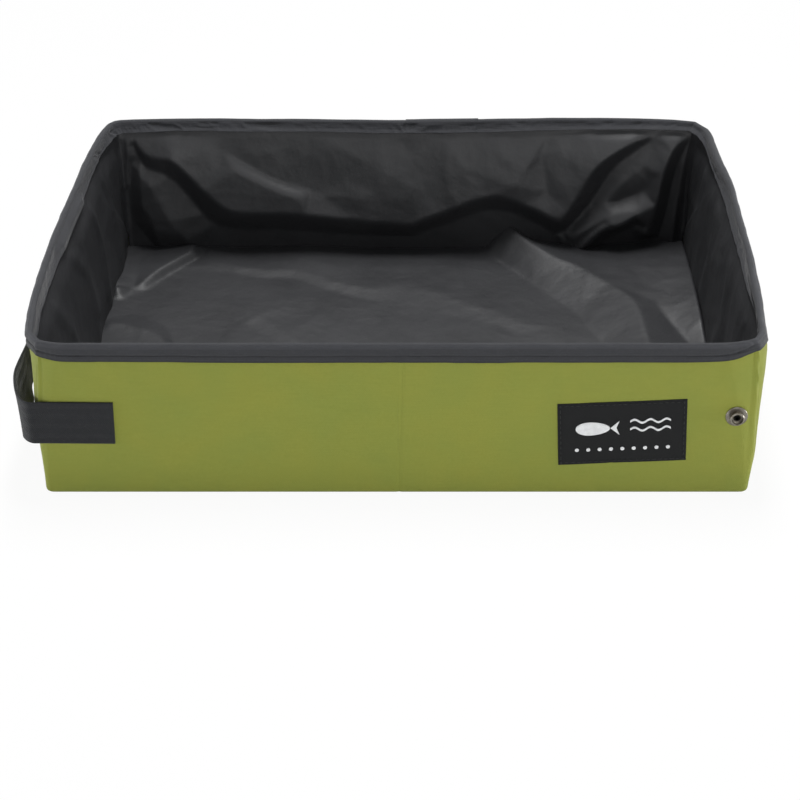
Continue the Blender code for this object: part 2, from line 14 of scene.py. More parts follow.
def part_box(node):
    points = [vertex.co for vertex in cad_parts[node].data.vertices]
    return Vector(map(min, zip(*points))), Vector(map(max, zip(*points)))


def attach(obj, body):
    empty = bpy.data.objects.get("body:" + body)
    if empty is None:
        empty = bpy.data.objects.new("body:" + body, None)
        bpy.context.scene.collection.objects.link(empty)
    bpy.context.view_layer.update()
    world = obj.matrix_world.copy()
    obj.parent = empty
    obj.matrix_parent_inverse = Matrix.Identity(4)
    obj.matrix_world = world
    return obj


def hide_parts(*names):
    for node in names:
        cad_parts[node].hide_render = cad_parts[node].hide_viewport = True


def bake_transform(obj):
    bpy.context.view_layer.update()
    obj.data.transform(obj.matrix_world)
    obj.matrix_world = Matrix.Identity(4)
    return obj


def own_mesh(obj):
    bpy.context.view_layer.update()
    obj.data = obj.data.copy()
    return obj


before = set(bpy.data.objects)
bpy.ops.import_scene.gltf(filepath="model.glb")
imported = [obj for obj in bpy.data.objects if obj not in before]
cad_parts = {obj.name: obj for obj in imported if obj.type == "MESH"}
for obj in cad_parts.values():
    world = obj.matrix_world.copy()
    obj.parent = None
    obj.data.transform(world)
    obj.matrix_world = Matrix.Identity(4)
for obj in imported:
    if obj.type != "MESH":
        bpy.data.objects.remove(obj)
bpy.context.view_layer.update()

bl_info = {
    "name": "Folding Litter Tray",
    "version": (1, 0, 0),
    "blender": (4, 5, 0),
    "location": "View3D > Sidebar > Litter Tray",
    "description": "Cloth, lining, rim tape, strap, label and snap of a folding litter tray",
    "category": "Object",
}

# Sizes read from the frame
HALF_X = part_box("end_skin_right")[1].x
HALF_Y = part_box("rear_skin_right")[1].y
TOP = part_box("front_binding_left")[1].z
TAPE_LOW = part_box("front_binding_left")[0].z
INNER_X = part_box("floor_board_right")[1].x
INNER_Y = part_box("floor_board_right")[1].y
WALL = HALF_X - INNER_X
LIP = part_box("front_binding_right")[1].x - HALF_X
BOARD_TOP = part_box("floor_board_right")[1].z
LONG_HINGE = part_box("front_skin_right")[0].z
END_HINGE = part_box("end_skin_right")[0].z
GUSSET_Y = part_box("end_skin_right")[1].y
MITRE = GUSSET_Y + LONG_HINGE
CLOTH_TOP = TOP - 0.0015

# Sizes of the cloths: clearances, the lean of the front crease, layers, and the stretch each hinge bends over
GAP = 0.0003
CREASE_LEAN = 0.0036
CLOTH_THICK, LINING_THICK = 0.00045, 0.00035
LONG_BEND, END_BEND = 0.0052, 0.0030
END_LAP = 0.0012
STITCH_UP, INNER_STITCH_UP = 0.0036, 0.0018

# The camera fitted to the tray's corners in the photo: its place and tilt,
# and its focal length and middle in pixels
CAMERA_SIDE, CAMERA_BACK, CAMERA_UP = 0.0218, 1.010, 0.608
CAMERA_TILT = math.radians(32.3)
FOCAL_PIXELS, MIDDLE_ACROSS, MIDDLE_DOWN = 1833, 436.27, 400

HALVES = {"left": -1, "right": 1}
ROWS = ("front", "rear")
# Spans of the walls, as wall_point counts them
WALL_SPAN = {"front": (0, 1), "rear": (4, 5)}
GUSSET_SPAN = {"front": (1, 2), "rear": (3, 4)}
END_SPAN = (2, 3)

# How far each end's rim bows out, at a share of the half width
BOW_SHARES = {
    "left": (-1.0, -0.93, -0.88, -0.67, -0.43, -0.17, 0.07, 0.33, 0.50, 0.69, 0.85, 1.0),
    "right": (-1.0, -0.93, -0.81, -0.67, -0.26, 0.0, 0.33, 0.58, 0.69, 0.85, 0.93, 1.0),
}
BOW_DEPTHS = {
    "left": (0.0008, 0.0039, 0.0051, 0.0088, 0.0099, 0.0107, 0.0101, 0.0089, 0.0088, 0.0077, 0.0057, 0.0003),
    "right": (0.0008, 0.0026, 0.0042, 0.0059, 0.0091, 0.0093, 0.0106, 0.0079, 0.0070, 0.0066, 0.0042, 0.0003),
}
# Each corner at the rim: where its curve leaves the long wall, its crease's two offsets,
# where it meets the end, and how late on the way up it opens
RIM_CORNERS = {
    ("front", "left"): (0.0180, 0.0034, 0.0036, 0.0140, 2.0),
    ("front", "right"): (0.0220, 0.0027, 0.0046, 0.0160, 1.7),
    ("rear", "left"): (0.0050, 0.0012, 0.0012, 0.0050, 1.3),
    ("rear", "right"): (0.0180, 0.0018, 0.0024, 0.0140, 1.3),
}
FOOT_CORNER = (0.0030, 0.0009, 0.0009, 0.0030)


# Shapes
def soft_noise(x, y, size, seed):
    """Smooth noise between about -1 and 1, with bumps of a given size."""
    table = np.random.default_rng(seed).uniform(-1, 1, (64, 64))
    a, b = np.asarray(x) / size + 11.3, np.asarray(y) / size + 7.7
    i, j = np.floor(a).astype(int), np.floor(b).astype(int)
    u, v = a - i, b - j
    u, v = u * u * u * (u * (u * 6 - 15) + 10), v * v * v * (v * (v * 6 - 15) + 10)
    pick = lambda m, n: table[m % 64, n % 64]
    low = pick(i, j) * (1 - u) + pick(i + 1, j) * u
    high = pick(i, j + 1) * (1 - u) + pick(i + 1, j + 1) * u
    return low * (1 - v) + high * v


def crumple(x, y, size, seed):
    """Creased noise between 0 and 1: soft slopes that meet in narrow ridges."""
    warp = size * 0.45
    dx, dy = soft_noise(x, y, size * 1.7, seed + 1) * warp, soft_noise(x, y, size * 1.7, seed + 2) * warp
    return 1 - np.abs(soft_noise(np.asarray(x) + dx, np.asarray(y) + dy, size, seed))


def ease(value):
    """0 below 0, 1 above 1, and smooth between."""
    held = np.clip(value, 0, 1)
    return held * held * (3 - 2 * held)


def curve_through(at, knots, values, reach):
    """A smooth line through given values, blurred over a reach."""
    knots, values = np.asarray(knots, float), np.asarray(values, float)
    fine = np.linspace(knots[0], knots[-1], 601)
    straight = np.interp(fine, knots, values)
    step = fine[1] - fine[0]
    taps = np.arange(-int(3 * reach / step) - 1, int(3 * reach / step) + 2)
    weight = np.exp(-((taps * step / reach) ** 2))
    padded = np.pad(straight, len(taps), mode="edge")
    smooth = np.convolve(padded, weight / weight.sum(), mode="same")[len(taps) : -len(taps)]
    return np.interp(at, fine, smooth)


def line_distance(x, y, line):
    """Distance to a broken line, and the share of its length at the nearest point."""
    line = np.asarray(line, float)
    lengths = np.linalg.norm(np.diff(line, axis=0), axis=1)
    total, before = lengths.sum(), 0.0
    best = np.full(np.shape(x), 1e9)
    along = np.zeros(np.shape(x))
    for start, end, length in zip(line[:-1], line[1:], lengths):
        run = end - start
        t = np.clip(((x - start[0]) * run[0] + (y - start[1]) * run[1]) / (length * length), 0, 1)
        away = np.hypot(x - start[0] - t * run[0], y - start[1] - t * run[1])
        near = away < best
        best = np.where(near, away, best)
        along = np.where(near, (before + t * length) / total, along)
        before += length
    return best, along


def fold(x, y, line, left, right, height, fade, crisp):
    """A fold along a line: seen from its start, it falls away over its left width and its right width."""
    line = np.asarray(line, float)
    away, along = line_distance(x, y, line)
    side = np.zeros(np.shape(x))
    best = np.full(np.shape(x), 1e9)
    for start, end in zip(line[:-1], line[1:]):
        run = end - start
        t = np.clip(((x - start[0]) * run[0] + (y - start[1]) * run[1]) / (run @ run), 0, 1)
        near = np.hypot(x - start[0] - t * run[0], y - start[1] - t * run[1])
        turn = run[0] * (y - start[1]) - run[1] * (x - start[0])
        side = np.where(near < best, np.sign(turn), side)
        best = np.minimum(best, near)
    soft = np.sqrt(away * away + 0.0008**2) - 0.0008
    share = np.clip(1 - soft / np.where(side > 0, left, right), 0, 1)
    body = share**crisp * (1 - 0.25 * (1 - share) ** 2)
    return height * body * ease(along / fade + 0.05) * ease((1 - along) / fade + 0.05)


def curve_point(t, start, leave, end, arrive):
    """A point at a share t of a smooth curve that leaves one place and arrives at another."""
    near_start, near_end = 2 * t**3 - 3 * t**2 + 1, 3 * t**2 - 2 * t**3
    return near_start * start + (t**3 - 2 * t**2 + t) * leave + near_end * end + (t**3 - t**2) * arrive


def dense(line):
    """A line of a few points as a smooth curve with many, about 4 mm apart."""
    points = np.array(line, float)
    if len(points) < 3:
        return [tuple(p) for p in points]
    ends = np.concatenate([[2 * points[0] - points[1]], points, [2 * points[-1] - points[-2]]])
    result = []
    for i in range(1, len(ends) - 2):
        before, start, end, after = ends[i - 1 : i + 3]
        length = float(np.hypot(*(end - start)[:2]))
        count = max(1, round(length / 4.0))
        slack = [min(1.0, length / max(np.hypot(*gap[:2]), 1e-9)) for gap in (start - before, after - end)]
        leave, arrive = (end - before) / 2 * slack[0], (after - start) / 2 * slack[1]
        for k in range(count):
            result.append(tuple(np.round(curve_point(k / count, start, leave, end, arrive), 2)))
    return result + [tuple(points[-1])]


def relief(lines, low, high, rounding=0.0011):
    """Heights of a creased sheet over a rectangle: flat facets between creases, which are a little rounded.
    A crease is a line of points (across, along, height) in millimetres. relief_at samples the result."""
    places, edges, heights = [], [], []
    for line in lines:
        before = None
        for across, along, height in dense(line):
            if (across, along) not in places:
                places.append((across, along))
                heights.append(height / 1000)
            at = places.index((across, along))
            if before is not None:
                edges.append((before, at))
            before = at
    made = delaunay_2d_cdt([Vector((a / 1000, b / 1000)) for a, b in places], edges, [], 0, 1e-6)
    if not all(made[3]):
        raise RuntimeError("two fold lines cross")
    heights = np.array([heights[origin[0]] for origin in made[3]])
    corners = np.array([tuple(v) for v in made[0]])
    step = 0.0008
    xs, ys = np.arange(low[0], high[0] + step, step), np.arange(low[1], high[1] + step, step)
    gx, gy = np.meshgrid(xs, ys)
    field = np.zeros_like(gx)
    for face in made[2]:
        (ax, ay), (bx, by), (cx, cy) = corners[list(face)]
        area = (bx - ax) * (cy - ay) - (cx - ax) * (by - ay)
        if abs(area) < 1e-12:
            continue
        i0, i1 = np.searchsorted(xs, (min(ax, bx, cx) - step, max(ax, bx, cx) + step))
        j0, j1 = np.searchsorted(ys, (min(ay, by, cy) - step, max(ay, by, cy) + step))
        px, py = gx[j0:j1, i0:i1], gy[j0:j1, i0:i1]
        second = ((px - ax) * (cy - ay) - (cx - ax) * (py - ay)) / area
        third = ((bx - ax) * (py - ay) - (px - ax) * (by - ay)) / area
        first = 1 - second - third
        inside = (first > -1e-6) & (second > -1e-6) & (third > -1e-6)
        height = first * heights[face[0]] + second * heights[face[1]] + third * heights[face[2]]
        field[j0:j1, i0:i1] = np.where(inside, height, field[j0:j1, i0:i1])
    taps = np.arange(-5, 6) * step
    weight = np.exp(-((taps / rounding) ** 2))
    weight /= weight.sum()
    for axis in (0, 1):
        padded = np.pad(field, 5, mode="edge")
        field = sum(w * np.roll(padded, k, axis)[5:-5, 5:-5] for w, k in zip(weight, range(-5, 6)))
    return field, low, step


def relief_at(made, x, y):
    """Height of a relief at places."""
    field, low, step = made
    a = np.clip((np.asarray(x) - low[0]) / step, 0, field.shape[1] - 1.001)
    b = np.clip((np.asarray(y) - low[1]) / step, 0, field.shape[0] - 1.001)
    i, j = a.astype(int), b.astype(int)
    u, v = a - i, b - j
    under = field[j, i] * (1 - u) + field[j, i + 1] * u
    above = field[j + 1, i] * (1 - u) + field[j + 1, i + 1] * u
    return under * (1 - v) + above * v


def bow(half, y):
    """How far an end's rim stands out at a place along it."""
    return curve_through(np.asarray(y) / HALF_Y, BOW_SHARES[half], BOW_DEPTHS[half], 0.045)


def bow_rise(z):
    """The share of the rim's bow that the wall has at a height."""
    return np.clip((z - 0.010) / (TOP - 0.010), 0, 1.1) ** 1.25


# How far the rear rim stands up over the wall's height, and the share of it that is lean
REAR_RISE_AT = (-0.200, -0.187, -0.139, -0.105, -0.071, -0.003, 0.031, 0.065, 0.099, 0.133, 0.167, 0.195)
REAR_RISE = (0.0002, 0.0013, 0.0024, 0.0020, 0.0020, 0.0007, 0.0013, 0.0020, 0.0028, 0.0028, 0.0020, 0.0006)


def raised(points):
    """Points of the tray, moved where the rear rim stands up and leans back and the front corners bulge."""
    points = np.array(points, float)
    rise = curve_through(points[..., 0], REAR_RISE_AT, REAR_RISE, 0.010)
    share = ease((points[..., 1] - HALF_Y + 0.035) / 0.025) * np.clip(points[..., 2] / TOP, 0, 1) ** 1.6
    points[..., 1] += 0.75 * rise * share
    points[..., 2] += 0.50 * rise * share
    bulge = ease((-points[..., 0] - 0.150) / 0.040) * ease((-0.090 - points[..., 1]) / 0.040)
    points[..., 0] -= 0.0022 * bulge * (1 - ease((points[..., 2] - 0.045) / 0.050))
    height = ease(points[..., 2] / 0.030) * (1 - ease((points[..., 2] - 0.088) / 0.012))
    at_right = ease((points[..., 0] - 0.1955) / 0.005)
    points[..., 0] += 0.0026 * at_right * ease((-0.060 - points[..., 1]) / 0.050) * height
    return points


PLANS = {}


def plan(half, z, inset):
    """One half of the walls seen from above at a height: points from the front crease round to the rear one,
    the way out from each, the distance along, and the places where one panel ends and the next starts."""
    key = (half, round(z, 6), round(inset, 6))
    if key in PLANS:
        return PLANS[key]
    edge_x, edge_y = HALF_X - inset, HALF_Y - inset
    rise = float(bow_rise(z))
    up = min(max(z / TOP, 0), 1)
    least = 0.0038 if inset > WALL / 2 else 0.0026

    def side(y):
        return edge_x + bow(half, y * HALF_Y / edge_y) * rise

    def corner(row, way):
        *rim, late = RIM_CORNERS[row, half]
        a, k, c, d = (low + (high - low) * up**late for low, high in zip(FOOT_CORNER, rim))
        a, d = max(a - inset, least), max(d - inset, least)
        k, c = max(k - 0.293 * inset, 0.3 * least), max(c - 0.293 * inset, 0.3 * least)
        start = np.array([edge_x - a, way * edge_y])
        crease = np.array([edge_x - k, way * (edge_y - c)])
        end = np.array([float(side(way * (edge_y - d))), way * (edge_y - d)])
        near = np.array([edge_x - k - 0.75 * (a - k), way * edge_y])
        far = np.array([edge_x - 0.2 * k + 0.4 * (end[0] - edge_x), way * (edge_y - c - 0.55 * (d - c))])
        t = np.linspace(0, 1, 18)[:, None]
        first = (1 - t) ** 2 * start + 2 * t * (1 - t) * near + t * t * crease
        second = (1 - t) ** 2 * crease + 2 * t * (1 - t) * far + t * t * end
        return start, np.concatenate([first, second[1:]]), end

    front_start, front, front_end = corner("front", -1)
    rear_start, rear, rear_end = corner("rear", 1)
    long_front = np.stack([np.linspace(0, front_start[0], 120), np.full(120, -edge_y)], 1)[:-1]
    ys = np.linspace(front_end[1], rear_end[1], 200)[1:-1]
    end = np.stack([side(ys), ys], 1)
    long_rear = np.stack([np.linspace(rear_start[0], 0, 120), np.full(120, edge_y)], 1)[1:]
    points = np.concatenate([long_front, front, end, rear[::-1], long_rear])
    steps = np.linalg.norm(np.diff(points, axis=0), axis=1)
    along = np.concatenate([[0], np.cumsum(steps)])
    tangent = np.gradient(points, axis=0) / np.maximum(np.gradient(along), 1e-9)[:, None]
    out = np.stack([-tangent[:, 1], tangent[:, 0]], 1)
    out = -out if out[10, 1] > 0 else out
    out /= np.maximum(np.linalg.norm(out, axis=1), 1e-9)[:, None]
    first = min(GUSSET_Y, edge_y - 0.0002)
    mitre = min(max(MITRE - z, 0.0), first)
    marks = np.interp([-first, -mitre, mitre, first], points[:, 1], along)
    marks = np.concatenate([[0], marks, [along[-1]]])
    creases = along[len(long_front) + 17], along[len(long_front) + len(front) + len(end) + len(rear) - 1 - 17]
    PLANS[key] = points, out, along, marks, creases
    return PLANS[key]


def wall_point(half, u, z, inset, thin=None):
    """Points on a wall. u runs 0-1 over the front wall, 1-2 its gusset, 2-3 the end, 3-4 the rear gusset
    and 4-5 the rear wall. inset is the depth from the outer face, and thin another to blend to in gussets."""
    points, out, along, marks, _ = plan(half, z, inset)
    s = np.interp(u, np.arange(6), marks)
    x, y = np.interp(s, along, points[:, 0]), np.interp(s, along, points[:, 1])
    nx, ny = np.interp(s, along, out[:, 0]), np.interp(s, along, out[:, 1])
    if thin is not None:
        other, *_ = wall_point(half, u, z, thin)
        share = ease((np.asarray(u) - 0.98) / 0.5) * ease((4.02 - np.asarray(u)) / 0.5)
        middle = ease((np.asarray(u) - 1.7) / 0.5) * ease((3.3 - np.asarray(u)) / 0.5)
        share = (share * (1 - middle))[:, None]
        xy = np.stack([x, y], 1) * (1 - share) + other[:, :2] * share * np.array([HALVES[half], 1])
        x, y = xy[:, 0], xy[:, 1]
    way = HALVES[half]
    place = np.stack([way * x, y, np.full(len(x), z)], 1)
    return place, np.stack([way * nx, ny, np.zeros(len(x))], 1), s


def on_span(us, span):
    """Which places lie on a span of the walls, its ends among them."""
    return (us >= span[0] - 1e-9) & (us <= span[1] + 1e-9)


def panel_us(first, last, cell):
    """Even places along a panel, closer together round a corner."""
    count = {0: 0.205, 1: 0.085, 2: 0.125, 3: 0.085, 4: 0.205}[int(first)]
    steps = np.linspace(0, 1, max(4, round(count / cell)) + 1)
    if first == 0:
        steps = np.unique(np.concatenate([steps, np.linspace(0.89, 1, 26), np.linspace(0, 0.03, 8)]))
    elif first == 4:
        steps = np.unique(np.concatenate([steps, np.linspace(0, 0.11, 26), np.linspace(0.97, 1, 8)]))
    return first + steps * (last - first)


# Meshes
def placed(name, data):
    """A new object in the scene."""
    made = bpy.data.objects.new(name, data)
    bpy.context.scene.collection.objects.link(made)
    return made


def mesh_object(name, vertices, faces, finish, uv=None):
    """An object from points and faces, with its UV map in metres of cloth."""
    mesh = bpy.data.meshes.new(name)
    mesh.from_pydata([tuple(map(float, v)) for v in vertices], [], [tuple(map(int, f)) for f in faces])
    mesh.validate()
    if uv is not None:
        layer = mesh.uv_layers.new(name="cloth")
        corner = np.zeros(len(mesh.loops), int)
        mesh.loops.foreach_get("vertex_index", corner)
        layer.data.foreach_set("uv", np.asarray(uv, np.float32)[corner].ravel())
    mesh.shade_smooth()
    mesh.materials.append(finish)
    return placed(name, mesh)


def grid_object(name, points, uv, finish, flip=False, keep=None):
    """A sheet from a grid of points, rows by columns. keep picks the cells that exist."""
    rows, columns = points.shape[:2]
    index = np.arange(rows * columns).reshape(rows, columns)
    quads = np.stack([index[:-1, :-1], index[:-1, 1:], index[1:, 1:], index[1:, :-1]], -1)
    faces = quads[keep] if keep is not None else quads.reshape(-1, 4)
    if flip:
        faces = faces[:, ::-1]
    made = mesh_object(name, points.reshape(-1, 3), faces, finish, uv.reshape(-1, 2))
    shape = bmesh.new()
    shape.from_mesh(made.data)
    bmesh.ops.delete(shape, geom=[v for v in shape.verts if not v.link_faces], context="VERTS")
    bmesh.ops.dissolve_degenerate(shape, dist=1e-7, edges=shape.edges)
    shape.to_mesh(made.data)
    shape.free()
    return made


def close_tube(made):
    """Join the seam of a rolled-up sheet and close its ends."""
    shape = bmesh.new()
    shape.from_mesh(made.data)
    bmesh.ops.remove_doubles(shape, verts=shape.verts, dist=1e-6)
    bmesh.ops.holes_fill(shape, edges=[e for e in shape.edges if e.is_boundary], sides=0)
    bmesh.ops.recalc_face_normals(shape, faces=shape.faces)
    shape.to_mesh(made.data)
    shape.free()


def plain_mesh(made):
    """Replace an object's mesh by what its modifiers make of it."""
    graph = bpy.context.evaluated_depsgraph_get()
    mesh = bpy.data.meshes.new_from_object(made.evaluated_get(graph))
    made.modifiers.clear()
    old, made.data = made.data, mesh
    name = old.name
    bpy.data.meshes.remove(old)
    mesh.name = name
    return made


def thicken(made, thickness):
    """Give a sheet its thickness, on the side that its faces turn away from."""
    solid = made.modifiers.new("thickness", "SOLIDIFY")
    solid.thickness = thickness
    solid.offset = -1
    solid.use_even_offset = False
    plain_mesh(made)
    made.data.set_sharp_from_angle(angle=math.radians(60))
    return made


def joined(name, parts):
    """Several objects as one mesh."""
    shape = bmesh.new()
    finishes = []
    for part in parts:
        start = len(shape.faces)
        shape.from_mesh(part.data)
        shape.faces.ensure_lookup_table()
        slot = len(finishes)
        finishes.append(part.data.materials[0])
        for face in shape.faces[start:]:
            face.material_index = slot
    mesh = bpy.data.meshes.new(name)
    shape.to_mesh(mesh)
    shape.free()
    different = []
    for finish in finishes:
        if finish not in different:
            different.append(finish)
        mesh.materials.append(finish)
    for part in parts:
        bpy.data.objects.remove(part, do_unlink=True)
    made = placed(name, mesh)
    if len(different) == 1:
        for polygon in mesh.polygons:
            polygon.material_index = 0
        while len(mesh.materials) > 1:
            mesh.materials.pop()
    return made


def fold_flat(made, body):
    """Let a soft piece ride on a body, with a mesh of its own."""
    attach(made, body)
    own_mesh(made)


def fold_end(made, body):
    """Let a soft piece of an end or a corner ride on its body."""
    fold_flat(made, body)


def bend_at_foot(made, row, half):
    """Bake the place of a piece that runs up a long wall from the floor into its mesh. The stretch of its
    bend at the wall's foot is worked out but not used.
    """
    x, y = HALVES[half] * 0.1, HALF_Y if row == "rear" else -HALF_Y
    start, end = (x, y, LONG_HINGE - LONG_BEND), (x, y, LONG_HINGE + LONG_BEND)
    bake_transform(made)
    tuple(start)
    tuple(end)


# Finishes
class Nodes:
    """Short ways to add and join the nodes of one material."""

    def __init__(self, name):
        self.material = bpy.data.materials.new(name)
        self.material.use_nodes = True
        self.tree = self.material.node_tree
        self.shader = self.tree.nodes["Principled BSDF"]

    def add(self, kind, **settings):
        node = self.tree.nodes.new(kind)
        for key, value in settings.items():
            setattr(node, key, value)
        return node

    def put(self, socket, value):
        if isinstance(value, bpy.types.NodeSocket):
            self.tree.links.new(value, socket)
        else:
            socket.default_value = value

    def paint(self, socket, value):
        self.put(socket, value if isinstance(value, bpy.types.NodeSocket) else (*value, 1.0))

    def math(self, operation, first, second=0.0, third=0.0):
        node = self.add("ShaderNodeMath", operation=operation)
        for socket, value in zip(node.inputs, (first, second, third)):
            self.put(socket, value)
        return node.outputs[0]

    def noise(self, where, scale, detail=2.0, roughness=0.5):
        node = self.add("ShaderNodeTexNoise")
        self.put(node.inputs["Vector"], where)
        node.inputs["Scale"].default_value = scale
        node.inputs["Detail"].default_value = detail
        node.inputs["Roughness"].default_value = roughness
        return node.outputs["Fac"]

    def where(self):
        return self.add("ShaderNodeTexCoord").outputs["Object"]

    def cloth(self):
        return self.add("ShaderNodeUVMap", uv_map="cloth").outputs["UV"]

    def split(self, vector):
        node = self.add("ShaderNodeSeparateXYZ")
        self.put(node.inputs[0], vector)
        return node.outputs

    def mix(self, share, first, second):
        node = self.add("ShaderNodeMix", data_type="RGBA")
        self.put(node.inputs[0], share)
        for socket, value in ((node.inputs[6], first), (node.inputs[7], second)):
            self.paint(socket, value)
        return node.outputs[2]

    def spread(self, value, low, high, new_low, new_high):
        node = self.add("ShaderNodeMapRange")
        for socket, number in zip(node.inputs, (value, low, high, new_low, new_high)):
            self.put(socket, number)
        return node.outputs[0]

    def tinted(self, base, value, low, high, share, tone):
        return self.mix(self.spread(value, low, high, 0.0, share), base, tone)

    def ribs(self, along, pitch):
        return self.math("ABSOLUTE", self.math("SINE", self.math("MULTIPLY", along, math.pi / pitch)))

    def bump(self, height, distance, strength, before=None):
        node = self.add("ShaderNodeBump")
        node.inputs["Strength"].default_value = strength
        node.inputs["Distance"].default_value = distance
        self.put(node.inputs["Height"], height)
        if before is not None:
            self.put(node.inputs["Normal"], before)
        return node.outputs["Normal"]

    def finish(self, colour, roughness, normal=None, **uniform):
        self.paint(self.shader.inputs["Base Color"], colour)
        self.put(self.shader.inputs["Roughness"], roughness)
        if normal is not None:
            self.put(self.shader.inputs["Normal"], normal)
        for name, value in uniform.items():
            self.shader.inputs[name.replace("_", " ")].default_value = value
        return self.material


def shade(colour, amount):
    """A colour made lighter or darker."""
    return tuple(min(1.0, c * amount) for c in colour)


def plain_weave(nodes, across, along, pitch):
    """Height of an over-and-under weave, 0 to 1."""
    u, v = nodes.math("DIVIDE", across, pitch), nodes.math("DIVIDE", along, pitch)
    warp = nodes.math("ABSOLUTE", nodes.math("SINE", nodes.math("MULTIPLY", u, math.pi)))
    weft = nodes.math("ABSOLUTE", nodes.math("SINE", nodes.math("MULTIPLY", v, math.pi)))
    whole = nodes.math("ADD", nodes.math("FLOOR", u), nodes.math("FLOOR", v))
    over = nodes.math("PINGPONG", whole, 1.0)
    first = nodes.math("MULTIPLY", warp, nodes.math("MULTIPLY_ADD", weft, 0.6, 0.4))
    second = nodes.math("MULTIPLY", weft, nodes.math("MULTIPLY_ADD", warp, 0.3, 0.25))
    upper = nodes.math("MULTIPLY", first, over)
    under = nodes.math("MULTIPLY", second, nodes.math("SUBTRACT", 1.0, over))
    return nodes.math("ADD", upper, under)


def oxford_finish(colour):
    """Green Oxford: a coarse woven polyester with a little slub, blotches of uneven tone and fine dark
    specks.
    """
    n = Nodes("green_oxford")
    uv, where = n.split(n.cloth()), n.where()
    weave = plain_weave(n, uv[0], uv[1], 0.00056)
    blotch = n.noise(where, 38.0, 3.0)
    fine = n.noise(where, 900.0, 2.0)
    slub = n.add("ShaderNodeMapping")
    n.put(slub.inputs["Vector"], where)
    slub.inputs["Scale"].default_value = (1.0, 1.0, 26.0)
    threads = n.noise(slub.outputs["Vector"], 60.0, 2.0)
    base = n.tinted(shade(colour, 0.80), weave, 0.0, 1.0, 1.0, shade(colour, 1.12))
    base = n.tinted(base, blotch, 0.3, 0.7, 0.7, shade((colour[0] * 1.10, colour[1], colour[2] * 0.9), 0.97))
    base = n.tinted(base, threads, 0.35, 0.7, 0.18, shade(colour, 1.22))
    base = n.tinted(base, fine, 0.35, 0.75, 0.16, shade(colour, 0.72))
    normal = n.bump(weave, 0.00022, 0.35)
    normal = n.bump(n.noise(where, 140.0, 3.0), 0.0006, 0.10, normal)
    return n.finish(
        base, n.spread(fine, 0.3, 0.7, 0.78, 0.92), normal, Specular_IOR_Level=0.22, Sheen_Weight=0.12,
        Sheen_Roughness=0.5,
    )


def lining_finish(colour):
    """Coated lining: a fine taffeta with a soft, slightly uneven gloss and small creases."""
    n = Nodes("coated_lining")
    uv, where = n.split(n.cloth()), n.where()
    weave = plain_weave(n, uv[0], uv[1], 0.00034)
    cloudy = n.noise(where, 22.0, 4.0, 0.55)
    creases = n.noise(where, 75.0, 5.0, 0.62)
    dust = n.noise(where, 1400.0, 1.0)
    base = n.tinted(shade(colour, 0.90), cloudy, 0.3, 0.7, 1.0, shade(colour, 1.10))
    base = n.tinted(base, dust, 0.55, 0.8, 0.20, shade(colour, 1.6))
    base = n.tinted(base, weave, 0.0, 1.0, 0.25, shade(colour, 0.80))
    normal = n.bump(weave, 0.00010, 0.25)
    normal = n.bump(creases, 0.0016, 0.22, normal)
    normal = n.bump(cloudy, 0.006, 0.20, normal)
    rough = n.spread(cloudy, 0.3, 0.7, 0.46, 0.56)
    return n.finish(base, rough, normal, Specular_IOR_Level=0.34)


def tape_finish(colour):
    """Grosgrain tape: fine ribs across its length, fuzzy where it has rubbed, with painted shade along its
    lower edge and in its stitch groove and a painted highlight along its top fold.
    """
    n = Nodes("binding_tape")
    rib = 0.0006
    uv, where = n.split(n.cloth()), n.where()
    ribs = n.ribs(uv[0], rib)
    lines = n.ribs(uv[1], rib * 1.9)
    height = n.math("ADD", n.math("MULTIPLY", ribs, 0.7), n.math("MULTIPLY", lines, 0.3))
    worn = n.noise(where, 55.0, 4.0, 0.6)
    fuzz = n.noise(where, 1100.0, 2.0)
    base = n.tinted(shade(colour, 0.72), height, 0.1, 1.0, 1.0, shade(colour, 1.12))
    base = n.tinted(base, worn, 0.42, 0.75, 0.45, shade(colour, 1.45))
    base = n.tinted(base, fuzz, 0.5, 0.8, 0.30, shade(colour, 1.9))
    # Bands across the outer flap: painted shade along its lower edge and in its stitch groove, and a painted
    # highlight along the top fold
    for middle, reach, share, tone in (
        (0.0, 0.0011, 0.55, 0.45), (STITCH_UP, 0.0008, 0.60, 0.45), (0.0092, 0.0013, 0.45, 1.9)
    ):
        away = n.math("ABSOLUTE", n.math("SUBTRACT", uv[1], middle))
        base = n.mix(n.spread(away, reach * 0.3, reach, share, 0.0), base, shade(colour, tone))
    normal = n.bump(height, rib * 0.45, 0.45)
    normal = n.bump(n.noise(where, 210.0, 3.0), 0.0007, 0.25, normal)
    return n.finish(
        base, n.spread(worn, 0.3, 0.7, 0.66, 0.82), normal, Specular_IOR_Level=0.25, Sheen_Weight=0.12,
        Sheen_Roughness=0.4,
    )


def webbing_finish(colour):
    """Strap webbing: a herringbone of flat yarns with firm edges."""
    n = Nodes("strap_webbing")
    uv, where = n.split(n.cloth()), n.where()
    zig = n.math("PINGPONG", n.math("DIVIDE", uv[1], 0.0032), 1.0)
    slant = n.math("ADD", n.math("DIVIDE", uv[0], 0.0011), n.math("MULTIPLY", zig, 2.2))
    yarns = n.ribs(slant, 1.0)
    rows = n.ribs(uv[1], 0.0008)
    height = n.math("MULTIPLY", yarns, n.math("MULTIPLY_ADD", rows, 0.35, 0.65))
    fuzz = n.noise(where, 1000.0, 2.0)
    worn = n.noise(where, 60.0, 4.0, 0.6)
    base = n.mix(height, shade(colour, 0.6), shade(colour, 1.2))
    base = n.tinted(base, worn, 0.4, 0.75, 0.40, shade(colour, 1.5))
    base = n.tinted(base, fuzz, 0.52, 0.8, 0.30, shade(colour, 2.2))
    normal = n.bump(height, 0.0004, 0.6)
    return n.finish(
        base, n.spread(fuzz, 0.3, 0.7, 0.62, 0.80), normal, Specular_IOR_Level=0.25, Sheen_Weight=0.10,
        Sheen_Roughness=0.4,
    )


